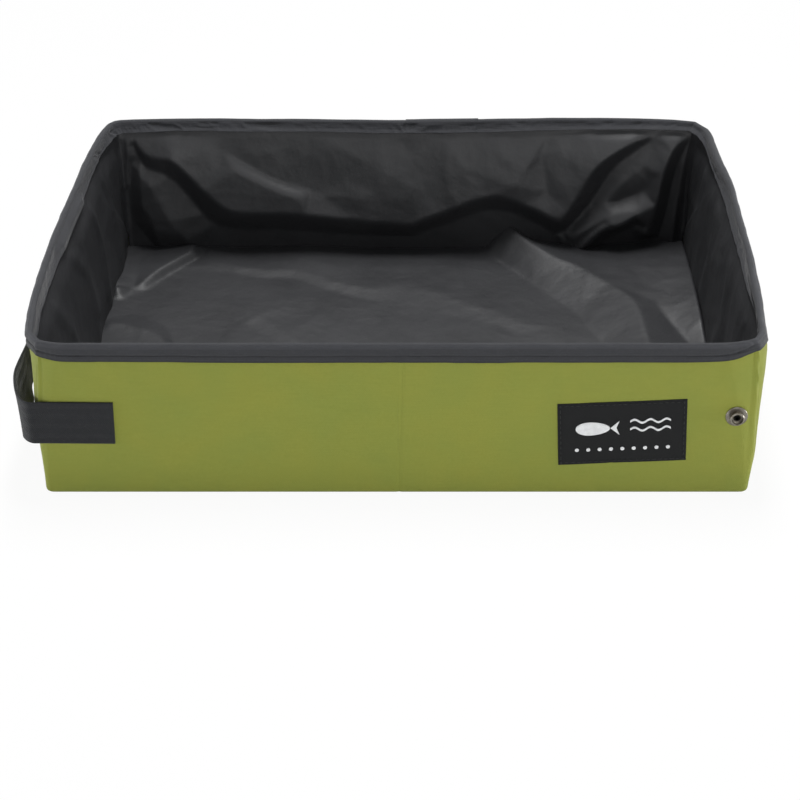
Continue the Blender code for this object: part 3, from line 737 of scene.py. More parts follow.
def label_finish(colour):
    """Woven label: a dense satin with fine cross ribs."""
    n = Nodes("label_satin")
    uv, where = n.split(n.cloth()), n.where()
    ribs = n.ribs(uv[1], 0.00042)
    ends = n.ribs(uv[0], 0.00025)
    height = n.math("ADD", n.math("MULTIPLY", ribs, 0.75), n.math("MULTIPLY", ends, 0.25))
    fuzz = n.noise(where, 1200.0, 2.0)
    base = n.mix(height, shade(colour, 0.7), shade(colour, 1.25))
    base = n.tinted(base, fuzz, 0.5, 0.8, 0.25, shade(colour, 2.2))
    normal = n.bump(height, 0.00018, 0.5)
    return n.finish(
        base, n.spread(fuzz, 0.3, 0.7, 0.56, 0.72), normal, Specular_IOR_Level=0.16, Sheen_Weight=0.02,
        Sheen_Roughness=0.4,
    )


def thread_finish(colour, name):
    """Twisted sewing thread."""
    n = Nodes(name)
    where = n.where()
    twist = n.add("ShaderNodeTexWave", wave_type="BANDS", bands_direction="DIAGONAL")
    n.put(twist.inputs["Vector"], where)
    twist.inputs["Scale"].default_value = 900.0
    ply = twist.outputs["Fac"]
    uneven = n.noise(where, 420.0, 2.0)
    base = n.mix(ply, shade(colour, 0.7), shade(colour, 1.2))
    base = n.tinted(base, uneven, 0.4, 0.7, 0.3, shade(colour, 1.35))
    return n.finish(
        base, n.spread(uneven, 0.3, 0.7, 0.5, 0.7), n.bump(ply, 0.00008, 0.6), Specular_IOR_Level=0.25,
        Sheen_Weight=0.05,
    )


def board_finish(colour):
    """Grey board with flecks."""
    n = Nodes("grey_board")
    where = n.where()
    fleck, fibre = n.noise(where, 520.0, 3.0), n.noise(where, 90.0, 4.0)
    base = n.tinted(colour, fleck, 0.55, 0.75, 0.8, shade(colour, 0.55))
    base = n.tinted(base, fibre, 0.35, 0.7, 0.5, shade(colour, 1.2))
    return n.finish(base, n.spread(fibre, 0.3, 0.7, 0.8, 0.95), n.bump(fibre, 0.0003, 0.3))


def metal_finish(colour):
    """Nickel-plated brass with patches of tarnish, fine scratches and pits, and painted shade, near black, in
    the stud's hollow.
    """
    n = Nodes("snap_nickel")
    where = n.where()
    stretched = n.add("ShaderNodeMapping")
    n.put(stretched.inputs["Vector"], where)
    stretched.inputs["Scale"].default_value = (1.0, 6.0, 1.0)
    scratch = n.noise(stretched.outputs["Vector"], 900.0, 3.0, 0.7)
    tarnish = n.noise(where, 260.0, 4.0, 0.6)
    pits = n.noise(where, 1900.0, 2.0)
    base = n.tinted(colour, tarnish, 0.34, 0.62, 0.9, (colour[0] * 0.42, colour[1] * 0.38, colour[2] * 0.34))
    base = n.tinted(base, pits, 0.6, 0.8, 0.5, shade(colour, 0.3))
    # Painted shade: the stud's hollow, within 1.9 to 2.5 mm of its middle, is made near black
    middle = (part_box("snap_stud")[0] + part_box("snap_stud")[1]) / 2
    place = n.split(where)
    aside, up = n.math("SUBTRACT", place[0], middle.x), n.math("SUBTRACT", place[2], middle.z)
    away = n.math("SQRT", n.math("ADD", n.math("MULTIPLY", aside, aside), n.math("MULTIPLY", up, up)))
    base = n.mix(n.spread(away, 0.0019, 0.0025, 0.97, 0.0), base, (0.004, 0.004, 0.004))
    rough = n.math("ADD", n.spread(tarnish, 0.3, 0.7, 0.22, 0.46), n.spread(scratch, 0.4, 0.7, 0.0, 0.08))
    return n.finish(base, rough, n.bump(scratch, 0.00006, 0.35), Metallic=1.0)


FINISHES = {}
CLOTHS_AND_METAL = {
    "oxford": oxford_finish,
    "lining": lining_finish,
    "tape": tape_finish,
    "webbing": webbing_finish,
    "label": label_finish,
    "board": board_finish,
    "metal": metal_finish,
}
THREADS = {
    "motif": "motif_thread",
    "dark_thread": "dark_thread",
    "pale_thread": "pale_thread",
    "green_thread": "green_thread",
}


def finish(key):
    """A finish by its name, made once from the panel's colours."""
    if key not in FINISHES:
        colour = tuple(getattr(bpy.context.scene.tray_colours, key))
        if key in THREADS:
            FINISHES[key] = thread_finish(colour, THREADS[key])
        else:
            FINISHES[key] = CLOTHS_AND_METAL[key](colour)
    return FINISHES[key]


def colour_setting(name, about, colour):
    """A colour on the panel."""
    return FloatVectorProperty(
        name=name, description=about, subtype="COLOR", size=3, min=0, max=1, default=colour
    )


def length_setting(name, about, length, least):
    """A length on the panel."""
    return FloatProperty(name=name, description=about, default=length, min=least, unit="LENGTH")


class TrayColours(PropertyGroup):
    """Colours of the tray's cloths, threads and metal."""

    oxford: colour_setting("Outer cloth", "Green of the outer cloth", (0.235, 0.268, 0.048))
    lining: colour_setting("Lining", "Dark grey of the coated lining", (0.0230, 0.0235, 0.0255))
    tape: colour_setting("Rim tape", "Grey of the rim tape", (0.031, 0.032, 0.036))
    webbing: colour_setting("Strap", "Near-black of the strap", (0.011, 0.012, 0.014))
    label: colour_setting("Label", "Ground colour of the label", (0.0060, 0.0064, 0.0068))
    motif: colour_setting("Label motif", "Light thread of the label's motif", (0.72, 0.73, 0.74))
    dark_thread: colour_setting("Dark thread", "Thread on the tape and the strap", (0.014, 0.014, 0.015))
    pale_thread: colour_setting("Pale thread", "Thread on the overlap of the tape", (0.11, 0.115, 0.12))
    green_thread: colour_setting("Green thread", "Thread of the cloth's seams", (0.20, 0.22, 0.05))
    board: colour_setting("Boards", "Grey of the stiffener boards", (0.42, 0.40, 0.36))
    metal: colour_setting("Snap", "Metal of the snap fastener", (0.30, 0.285, 0.25))


class TraySizes(PropertyGroup):
    """Sizes that set how the cloth looks."""

    cloth_cell: length_setting("Outer cloth cell", "Size of the outer cloth's mesh cells", 0.0026, 0.001)
    lining_cell: length_setting("Lining cell", "Size of the lining's mesh cells", 0.0016, 0.001)
    tape_cell: length_setting("Tape cell", "Length of the tape's mesh cells", 0.0011, 0.0004)
    stitch_pitch: length_setting("Stitch pitch", "Distance from stitch to stitch", 0.0032, 0.001)
    stitch_length: length_setting(
        "Stitch length", "Length of the thread that shows in a stitch", 0.0025, 0.001
    )
    thread: length_setting("Thread", "Radius of the sewing thread", 0.00022, 0.0001)
    rear_folds: FloatProperty(
        name="Rear folds", description="Share of their depth that the rear lining's folds have", default=1.0,
        min=0.0, max=1.5,
    )
    floor_folds: FloatProperty(
        name="Floor folds", description="Share of their height that the floor lining's folds have",
        default=1.0, min=0.0, max=1.5,
    )


# Outer cloth
def foot_rows(top, cell):
    """Rows of a wall's cloth from its rounded foot to its top: depth from the outer face, and height."""
    radius = 0.0042
    lift = 0.00060
    turn = [
        (radius * (1 - math.sin(a)), lift + (radius - lift) * (1 - math.cos(a)))
        for a in np.linspace(0, math.pi / 2, 8)
    ]
    count = round((top - radius) / cell)
    return turn + [(0.0, radius + (top - radius) * i / count) for i in range(1, count + 1)]


def cloth_ripple(x, y, z):
    """Small unevenness of the outer cloth over its board, and the pull of the seam under the rim tape."""
    side = x + y * 0.83
    broad = 0.00030 * soft_noise(side, z, 0.034, 4) + 0.00014 * soft_noise(side, z, 0.012, 5)
    pulled = (0.00022 + 0.00022 * ease((-x - 0.11) / 0.05)) * soft_noise(side, z * 0.25, 0.0050, 6)
    pulled = pulled * ease((z - 0.062) / 0.028)
    foot = 0.00030 * soft_noise(side, z * 0.5, 0.010, 7) * ease((0.020 - z) / 0.014)
    return broad + pulled + foot


def cloth_surface(half, us, inset, z):
    """The outside of the cloth at a height: its points, and the distance along the wall."""
    place, out, s = wall_point(half, us, z, inset)
    creases = plan(half, z, inset)[4]
    push = cloth_ripple(place[:, 0], place[:, 1], z) * ease((z - 0.002) / 0.02) - 0.00022
    push = push - 0.0010 * ease((z - tape_low(half, us, False) - 0.0004) / 0.0016)
    line = place[:, 0] - CREASE_LEAN * z / TOP
    push = push - 0.00030 * np.exp(-((line / 0.0010) ** 2))
    open_up = ease(z / TOP)
    for crease in creases:
        push = push + 0.00060 * open_up * np.exp(-(((s - crease) / 0.0007) ** 2))
        push = push - 0.00040 * open_up * np.exp(-(((np.abs(s - crease) - 0.0019) / 0.0007) ** 2))
    return raised(place + out * push[:, None]), s


def cloth_panel(name, half, us, rows):
    """Outer cloth over a span of the walls."""
    points, uv = [], []
    for inset, z in rows:
        place, s = cloth_surface(half, us, inset, z)
        points.append(place)
        uv.append(np.stack([s * HALVES[half], np.full(len(s), z)], 1))
    return grid_object(name, np.array(points), np.array(uv), finish("oxford"), flip=HALVES[half] > 0)


def gusset_rows(low, cell):
    """Rows of a gusset: its lowest point is the foot of the corner's crease."""
    count = round((CLOTH_TOP - low) / cell)
    return [(0.0, low + (CLOTH_TOP - low) * i / count) for i in range(count + 1)]


class TRAY_OT_outer_cloth(Operator):
    """Sew the green outer cloth: floor, long walls with their corners, ends and gussets"""

    bl_idname = "tray.outer_cloth"
    bl_label = "Outer Cloth"

    def execute(self, context):
        cell = context.scene.tray_sizes.cloth_cell
        for half, side in HALVES.items():
            for row in ROWS:
                name = f"{row}_cloth_{half}"
                us = panel_us(*WALL_SPAN[row], cell)
                made = thicken(cloth_panel(name, half, us, foot_rows(CLOTH_TOP, cell)), CLOTH_THICK)
                bend_at_foot(made, row, half)
                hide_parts(f"{row}_skin_{half}")
                us = panel_us(*GUSSET_SPAN[row], cell)
                name = f"{row}_gusset_cloth_{half}"
                made = thicken(cloth_panel(name, half, us, gusset_rows(LONG_HINGE + GAP, cell)), CLOTH_THICK)
                fold_end(made, f"gusset_{row}_{half}")
                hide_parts(f"gusset_skin_{row}_{half}")
            turn = END_HINGE + END_BEND
            rows = [row for row in foot_rows(CLOTH_TOP, cell) if row[1] < turn - 0.0004] + [(0.0, turn)]
            name = f"end_foot_cloth_{half}"
            foot = thicken(cloth_panel(name, half, panel_us(*END_SPAN, cell), rows), CLOTH_THICK)
            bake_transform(foot)
            count = round((CLOTH_TOP - turn) / cell)
            rows = [(0.0, turn + (CLOTH_TOP - turn) * i / count) for i in range(count + 1)]
            made = thicken(
                cloth_panel(f"end_cloth_{half}", half, panel_us(*END_SPAN, cell), rows), CLOTH_THICK
            )
            fold_end(made, f"end_{half}")
            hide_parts(f"end_skin_{half}")
            xs = [np.linspace(0, 0.006, 7), np.linspace(0.006, HALF_X - 0.0040, 78)]
            xs = np.unique(np.concatenate(xs))
            ys = np.linspace(-HALF_Y + 0.0040, HALF_Y - 0.0040, 117)
            gx, gy = np.meshgrid(xs, ys)
            uneven = 0.00010 * (1 + soft_noise(gx * side, gy, 0.03, 8))
            z = 0.00012 + 0.0006 * np.exp(-((gx / 0.0014) ** 2)) + uneven
            points, uv = np.stack([gx * side, gy, z], -1), np.stack([gx * side, gy], -1)
            made = grid_object(f"floor_cloth_{half}", raised(points), uv, finish("oxford"), flip=side > 0)
            made = thicken(made, CLOTH_THICK)
            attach(made, f"base_{half}")
            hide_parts(f"bottom_skin_{half}")
        return {"FINISHED"}


# Boards
class TRAY_OT_boards(Operator):
    """Cut the stiffener boards that stand inside the walls, and finish the floor boards"""

    bl_idname = "tray.boards"
    bl_label = "Boards"

    def board(self, name, half, us, rows):
        faces_out, faces_in = [], []
        for z in rows:
            inner_face = 0.0023 - 0.0007 * ease((z - TAPE_LOW) / 0.006)
            for inset, store in ((0.0008, faces_out), (inner_face, faces_in)):
                place, _, s = wall_point(half, us, z, inset)
                store.append(np.concatenate([raised(place), s[:, None]], 1))
        outer, inner = np.array(faces_out), np.array(faces_in)
        loop = np.concatenate([outer, inner[:, ::-1]], 1)
        loop = np.concatenate([loop, loop[:, :1]], 1)
        made = grid_object(name, loop[..., :3], loop[..., [3, 2]], finish("board"), flip=HALVES[half] > 0)
        close_tube(made)
        for polygon in made.data.polygons:
            polygon.use_smooth = False
        return made

    def execute(self, context):
        for half, side in HALVES.items():
            for row in ROWS:
                us = 4 + np.linspace(0.075, 0.985, 60) if row == "rear" else np.linspace(0.015, 0.925, 60)
                made = self.board(
                    f"{row}_wall_board_{half}", half, us, np.linspace(LONG_HINGE + 0.002, TOP - 0.0022, 12)
                )
                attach(made, f"{row}_{half}")
                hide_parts(f"{row}_board_{half}")
            us = np.linspace(2.03, 2.97, 60)
            made = self.board(
                f"end_wall_board_{half}", half, us, np.linspace(END_HINGE + 0.002, TOP - 0.0022, 24)
            )
            fold_end(made, f"end_{half}")
            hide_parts(f"end_board_{half}")
            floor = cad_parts[f"floor_board_{half}"]
            floor.data.materials.clear()
            floor.data.materials.append(finish("board"))
        return {"FINISHED"}


# Lining

# Enlarged parts of the photo in which creases were picked: left and top in its pixels, and scale
REAR_LEFT_VIEW, REAR_RIGHT_VIEW = (95, 118, 4.4), (390, 118, 4.4)
FLOOR_LEFT_VIEW, FLOOR_RIGHT_VIEW = (90, 235, 4.4), (390, 225, 4.0)
# Millimetres: how far out the creases go, to the ends and to the rear, and where the flat lining lies
EDGE, REAR_EDGE = 196.6, 146.6
REAR_FACE, FLOOR_FACE = 146.8, 3.5


def sight(view, across, down):
    """The slopes, to the right and upwards, of the camera's sight through a place in an enlarged view."""
    left, top, scale = view
    right = (left + across / scale - MIDDLE_ACROSS) / FOCAL_PIXELS
    return right, (MIDDLE_DOWN - top - down / scale) / FOCAL_PIXELS


def on_rear(view, *picks):
    """A crease picked on the rear lining, as across, up and in from its wall. Each pick has its depth."""
    places, c, s = [], math.cos(CAMERA_TILT), math.sin(CAMERA_TILT)
    for across, down, depth in picks:
        right, up = sight(view, across, down)
        back = REAR_FACE - depth + CAMERA_BACK * 1000
        rise = back * (up * c - s) / (c + up * s)
        side = right * (back * c - rise * s) + CAMERA_SIDE * 1000
        places.append((min(round(side, 1), EDGE), round(rise + CAMERA_UP * 1000, 1), depth))
    return places


def on_floor(view, *picks):
    """A crease picked on the floor lining, as across, back and up. Each pick has its height."""
    places, c, s = [], math.cos(CAMERA_TILT), math.sin(CAMERA_TILT)
    for across, down, height in picks:
        right, up = sight(view, across, down)
        rise = FLOOR_FACE + height - CAMERA_UP * 1000
        back = -rise * (c + up * s) / (s - up * c)
        side = right * (back * c - rise * s) + CAMERA_SIDE * 1000
        places.append((round(side, 1), round(back - CAMERA_BACK * 1000, 1), height))
    return places


def lowered(crease, share):
    """A crease with a share of its height."""
    return [(across, along, round(height * share, 2)) for across, along, height in crease]


def moved(crease, *steps):
    """A crease whose places are moved by given steps in millimetres: across, along, and out from the cloth.
    """
    return [tuple(round(a + b, 1) for a, b in zip(place, step)) for place, step in zip(crease, steps)]


# Creases of the rear lining, picked in the photo, or set in millimetres across, up and in from its wall
REAR_CREASES = {
    "top edge": [
        (-EDGE, 96, 0), (-180, 96, 0), (-140, 94.5, 0), (-80, 94.2, 0), (0, 93.8, 0), (60, 94, 0),
        (110, 95, 0), (140, 96, 0), (170, 96.5, 0), (EDGE, 97, 0),
    ],
    "sagging crest": [
        *on_rear(
            REAR_LEFT_VIEW,
            (156, 66, 0.8), (170, 100, 2), (199, 146, 4), (245, 180, 6), (290, 186, 7), (335, 190, 8),
            (400, 250, 9.5), (470, 320, 11), (540, 380, 12.5), (600, 412, 13.5), (730, 420, 13.5),
            (860, 422, 13.5), (1000, 436, 13.5), (1130, 448, 13.5), (1280, 462, 13.5), (1400, 468, 13.5),
        ),
        *on_rear(
            REAR_RIGHT_VIEW,
            (150, 445, 13.5), (250, 410, 12.5), (350, 370, 12), (440, 346, 11.5), (500, 351, 11.5),
            (560, 372, 12), (650, 410, 13), (745, 452, 15), (790, 400, 14.5), (830, 340, 13.5),
            (870, 270, 12.5), (920, 210, 11), (990, 160, 9), (1060, 120, 6.5), (1130, 86, 3.5),
            (1180, 68, 1.5),
        ),
    ],
    "foot of the crest": [
        *on_rear(
            REAR_LEFT_VIEW,
            (168, 120, 0.6), (190, 170, 1), (228, 222, 2), (290, 240, 2.5), (350, 275, 2.5), (412, 342, 2.5),
            (474, 412, 2.5), (530, 462, 2.5), (620, 484, 2.5), (860, 488, 2.5), (1130, 505, 2.5),
            (1400, 516, 2.5),
        ),
        *on_rear(
            REAR_RIGHT_VIEW,
            (150, 490, 2.5), (260, 455, 2.5), (360, 415, 2.5), (440, 398, 2.5), (500, 402, 2.5),
            (560, 420, 2.5), (640, 455, 2.5), (720, 500, 2.5),
        ),
    ],
    "foot of the right slope": on_rear(
        REAR_RIGHT_VIEW,
        (760, 500, 3), (820, 440, 3), (872, 380, 2.6), (922, 310, 2.4), (960, 250, 2), (1010, 195, 1.6),
        (1075, 148, 1.2), (1140, 108, 0.8),
    ),
    "left drop": on_rear(REAR_LEFT_VIEW, (232, 285, 5.5), (290, 390, 8), (345, 475, 8.5), (400, 540, 7)),
    "left hollow": on_rear(REAR_LEFT_VIEW, (152, 200, 1), (153, 300, 1), (158, 400, 1)),
    "left corner drop": on_rear(
        REAR_LEFT_VIEW, (190, 240, 4), (198, 330, 5.5), (205, 400, 6.5), (238, 428, 7.5), (262, 500, 8)
    ),
    "left corner foot": on_rear(REAR_LEFT_VIEW, (168, 450, 1), (215, 500, 1)),
    "left corner": on_rear(REAR_LEFT_VIEW, (130, 120, 2.5), (128, 200, 3), (126, 300, 3)),
    "left hollow above the crest": on_rear(
        REAR_LEFT_VIEW, (500, 120, 2.4), (640, 200, 3.6), (820, 290, 6.6), (1000, 330, 8.2)
    ),
    "left ridge above the crest": on_rear(REAR_LEFT_VIEW, (620, 235, 8), (760, 300, 10.4), (900, 350, 12)),
    "middle ridge": on_rear(REAR_LEFT_VIEW, (1060, 130, 3.2), (1250, 230, 6.8), (1390, 300, 9)),
    "middle hollow": on_rear(REAR_RIGHT_VIEW, (60, 120, 1.4), (120, 230, 5.4), (160, 330, 9)),
    "small ridge": on_rear(REAR_RIGHT_VIEW, (240, 110, 2.6), (330, 230, 7.4)),
    "right ridge": on_rear(REAR_RIGHT_VIEW, (640, 150, 4.2), (556, 300, 11.4)),
    "right hollow": on_rear(REAR_RIGHT_VIEW, (662, 180, 4), (690, 330, 9.4)),
    "ridge to the notch": on_rear(REAR_RIGHT_VIEW, (760, 180, 6), (770, 320, 12)),
    "upper fold at the right": moved(
        on_rear(
            REAR_RIGHT_VIEW,
            (1150, 170, 4.5), (1090, 225, 6.5), (1010, 285, 7.5), (955, 350, 8), (925, 398, 8.5),
        ),
        (0, 0, 0), (0, -1.6, -0.5), (0, -2.3, -0.5), (0, -1.3, -0.5), (0, 0, 0),
    ),
    "hollow under the upper fold": moved(
        on_rear(REAR_RIGHT_VIEW, (1140, 265, 7.5), (1110, 300, 5), (1045, 332, 5.2), (1000, 362, 6.4)),
        (0, -3.2, -0.5), (0, -4.5, 1), (0, -3.7, 0.8), (0, -2.5, 0.4),
    ),
    "right drop": on_rear(
        REAR_RIGHT_VIEW,
        (1325, 64, 1), (1245, 150, 7.5), (1200, 250, 10.5), (1178, 340, 12), (1155, 430, 13), (1118, 505, 13),
    ),
    "foot of the right drop": on_rear(
        REAR_RIGHT_VIEW, (1338, 85, 0.5), (1280, 170, 1), (1236, 290, 1.5), (1212, 400, 2), (1178, 515, 2)
    ),
    "right corner": on_rear(
        REAR_RIGHT_VIEW, (1300, 210, 3), (1285, 330, 4.5), (1262, 450, 5.5), (1250, 540, 5)
    ),
    "upper sharp fold": moved(
        on_rear(
            REAR_RIGHT_VIEW,
            (1098, 390, 16), (1005, 400, 15), (950, 442, 15.5), (870, 488, 13.5), (805, 528, 10.5),
            (782, 562, 7),
        ),
        (0, -4.7, -1), (0, -3.7, -0.5), (0, -0.8, -0.5), (0, 0, 0), (0, 0, 0), (0, 0, 0),
    ),
    "lower sharp fold": moved(
        on_rear(
            REAR_RIGHT_VIEW,
            (1098, 390, 16), (1060, 432, 18), (1000, 468, 19), (950, 475, 18.5), (900, 510, 17.5),
            (850, 560, 16), (814, 608, 14.5),
        ),
        (0, -4.7, -1), (0, -2.8, -1), (0, -1.6, -1), (0, -1.7, -1), (0, -1, -0.5), (0, 0, 0), (0, 0, 0),
    ),
    "groove between the sharp folds": moved(
        on_rear(REAR_RIGHT_VIEW, (938, 468, 10), (872, 512, 8), (826, 560, 6), (796, 600, 5)),
        (0, 4, 3.5), (0, 3.5, 3.5), (0, 3.2, 3.5), (-0.3, 3.2, 3),
    ),
    "foot of the sharp folds": moved(
        on_rear(REAR_RIGHT_VIEW, (1085, 470, 6), (1000, 502, 6), (938, 535, 5), (892, 590, 3.5)),
        (0, 0, -1), (0, 0, -1), (0, 0, -1), (0.9, 1.8, -0.5),
    ),
    "flat place": on_rear(REAR_RIGHT_VIEW, (1080, 535, 2.5)),
    "ends and bottom edge": [
        (-EDGE, 70, 0), (-EDGE, 40, 0), (-EDGE, 3.5, 0), (-160, 3.5, 1), (-120, 3.5, 1), (-60, 3.5, 1),
        (0, 3.5, 1), (60, 3.5, 1), (100, 3.5, 1.2), (150, 3.5, 1.2), (180, 3.5, 1), (EDGE, 3.5, 0),
        (EDGE, 30, 0), (EDGE, 60, 0),
    ],
}
REAR_FLAP_LOW = 0.0930
RELIEFS = {}


def rear_push(x, z, share):
    """How far the rear lining stands in from its wall."""
    if "rear" not in RELIEFS:
        RELIEFS["rear"] = relief(REAR_CREASES.values(), (-0.1966, 0.0035), (0.1966, 0.0970))
    folds = share * relief_at(RELIEFS["rear"], x, z) * ease((REAR_FLAP_LOW + 0.0008 - z) / 0.006)
    return folds + 0.0004 * ease((z - BOARD_TOP) / 0.004)


END_FOLDS = {
    "left": (
        (((0.142, 0.0900), (0.136, 0.0500), (0.132, 0.0060)), 0.0120, 0.0090, 0.0050, 1.2),
        (((0.100, 0.0900), (0.112, 0.0500), (0.104, 0.0080)), 0.0150, 0.0100, 0.0050, 1.3),
        (((0.052, 0.0920), (0.060, 0.0550), (0.050, 0.0100)), 0.0140, 0.0090, 0.0070, 1.2),
        (((-0.020, 0.0900), (0.010, 0.0600), (0.018, 0.0150)), 0.0200, 0.0120, 0.0060, 1.3),
        (((-0.080, 0.0880), (-0.050, 0.0500), (-0.040, 0.0100)), 0.0220, 0.0160, 0.0060, 1.4),
    ),
    "right": (
        (((0.143, 0.0900), (0.135, 0.0500), (0.130, 0.0080)), 0.0090, 0.0130, 0.0050, 1.2),
        (((0.108, 0.0900), (0.112, 0.0550), (0.100, 0.0080)), 0.0110, 0.0130, 0.0050, 1.3),
        (((0.060, 0.0920), (0.045, 0.0500), (0.052, 0.0100)), 0.0120, 0.0200, 0.0055, 1.3),
        (((-0.010, 0.0900), (-0.030, 0.0450), (-0.012, 0.0080)), 0.0180, 0.0180, 0.0060, 1.3),
        (((-0.090, 0.0880), (-0.070, 0.0400), (-0.080, 0.0080)), 0.0200, 0.0160, 0.0050, 1.4),
    ),
}


def end_push(half, y, z):
    """Folds of an end's lining and of its gussets."""
    lean = 0.0018 * crumple(y, z * 0.6, 0.052, 21 if half == "left" else 31)
    for line, left, right, tall, crisp in END_FOLDS[half]:
        lean = np.maximum(lean, 0.3 * fold(y, z, line, left, right, tall, 0.15, crisp) + 0.4 * lean)
    return lean


def lining_push(half, place, z):
    """How far the lining stands in from its place at points of the walls."""
    x, y = place[:, 0], place[:, 1]
    held = ease((TAPE_LOW + 0.003 - z) / 0.018)
    low = ease((z - BOARD_TOP) / 0.006)
    near_rear = ease((y - (INNER_Y - 0.030)) / 0.024)
    on_rear = near_rear * ease((np.abs(y) - INNER_Y + 0.016) / 0.010)
    fine = 0.0007 * crumple(x + y, z, 0.030, 12) + 0.00025 * crumple(x + y, z, 0.011, 13)
    fine = fine * ease((z - 0.004) / 0.02)
    rear = rear_push(x, np.full_like(x, z), bpy.context.scene.tray_sizes.rear_folds)
    side = end_push(half, y, np.full_like(x, z)) * held * low
    front = 0.0012 * crumple(x, np.full_like(x, z), 0.06, 15) * held * low
    on_front = ease((-y - (INNER_Y - 0.012)) / 0.010)
    push = side * (1 - on_rear) * (1 - on_front) + rear * on_rear + front * on_front
    return push + fine * held


def soft_normals(place, out, reach):
    """Ways out that turn slowly round the corners, so that deep folds don't cross there."""
    gaps = np.linalg.norm(np.diff(place[:, :2], axis=0), axis=1)
    s = np.concatenate([[0], np.cumsum(gaps)])
    even = np.linspace(0, s[-1], 400)
    step = even[1] - even[0]
    taps = np.arange(-int(2.5 * reach / step) - 1, int(2.5 * reach / step) + 2)
    weight = np.exp(-((taps * step / reach) ** 2))
    result = np.zeros_like(out)
    for k in (0, 1):
        line = np.interp(even, s, out[:, k])
        line = np.pad(line, len(taps), mode="edge")
        line = np.convolve(line, weight / weight.sum(), mode="same")[len(taps) : -len(taps)]
        result[:, k] = np.interp(s, even, line)
    return result / np.maximum(np.linalg.norm(result, axis=1), 1e-9)[:, None]


def lining_us(cell):
    """Places of the lining's columns round one half, with each panel's borders among them."""
    return np.unique(np.concatenate([panel_us(i, i + 1, cell) for i in range(5)]))


def lining_grid(half, cell, heights):
    """The wall lining of one half as a grid from the floor to the rim."""
    us = lining_us(cell)
    rows, uv = [], []
    for z in heights:
        place, out, s = wall_point(half, us, z, WALL - 0.0011 * ease((z - TAPE_LOW) / 0.007), 0.0016)
        soft = soft_normals(place, out, 0.011)
        place = place - soft * (lining_push(half, place, z) + 0.0002)[:, None]
        rows.append(raised(place))
        uv.append(np.stack([s * HALVES[half], np.full(len(s), z)], 1))
    return us, np.array(rows), np.array(uv)


# Shares of the picked height that the long crest of the floor lining and its left fold have
LONG_CREST_SHARE, LEFT_FOLD_SHARE = 0.58, 0.72
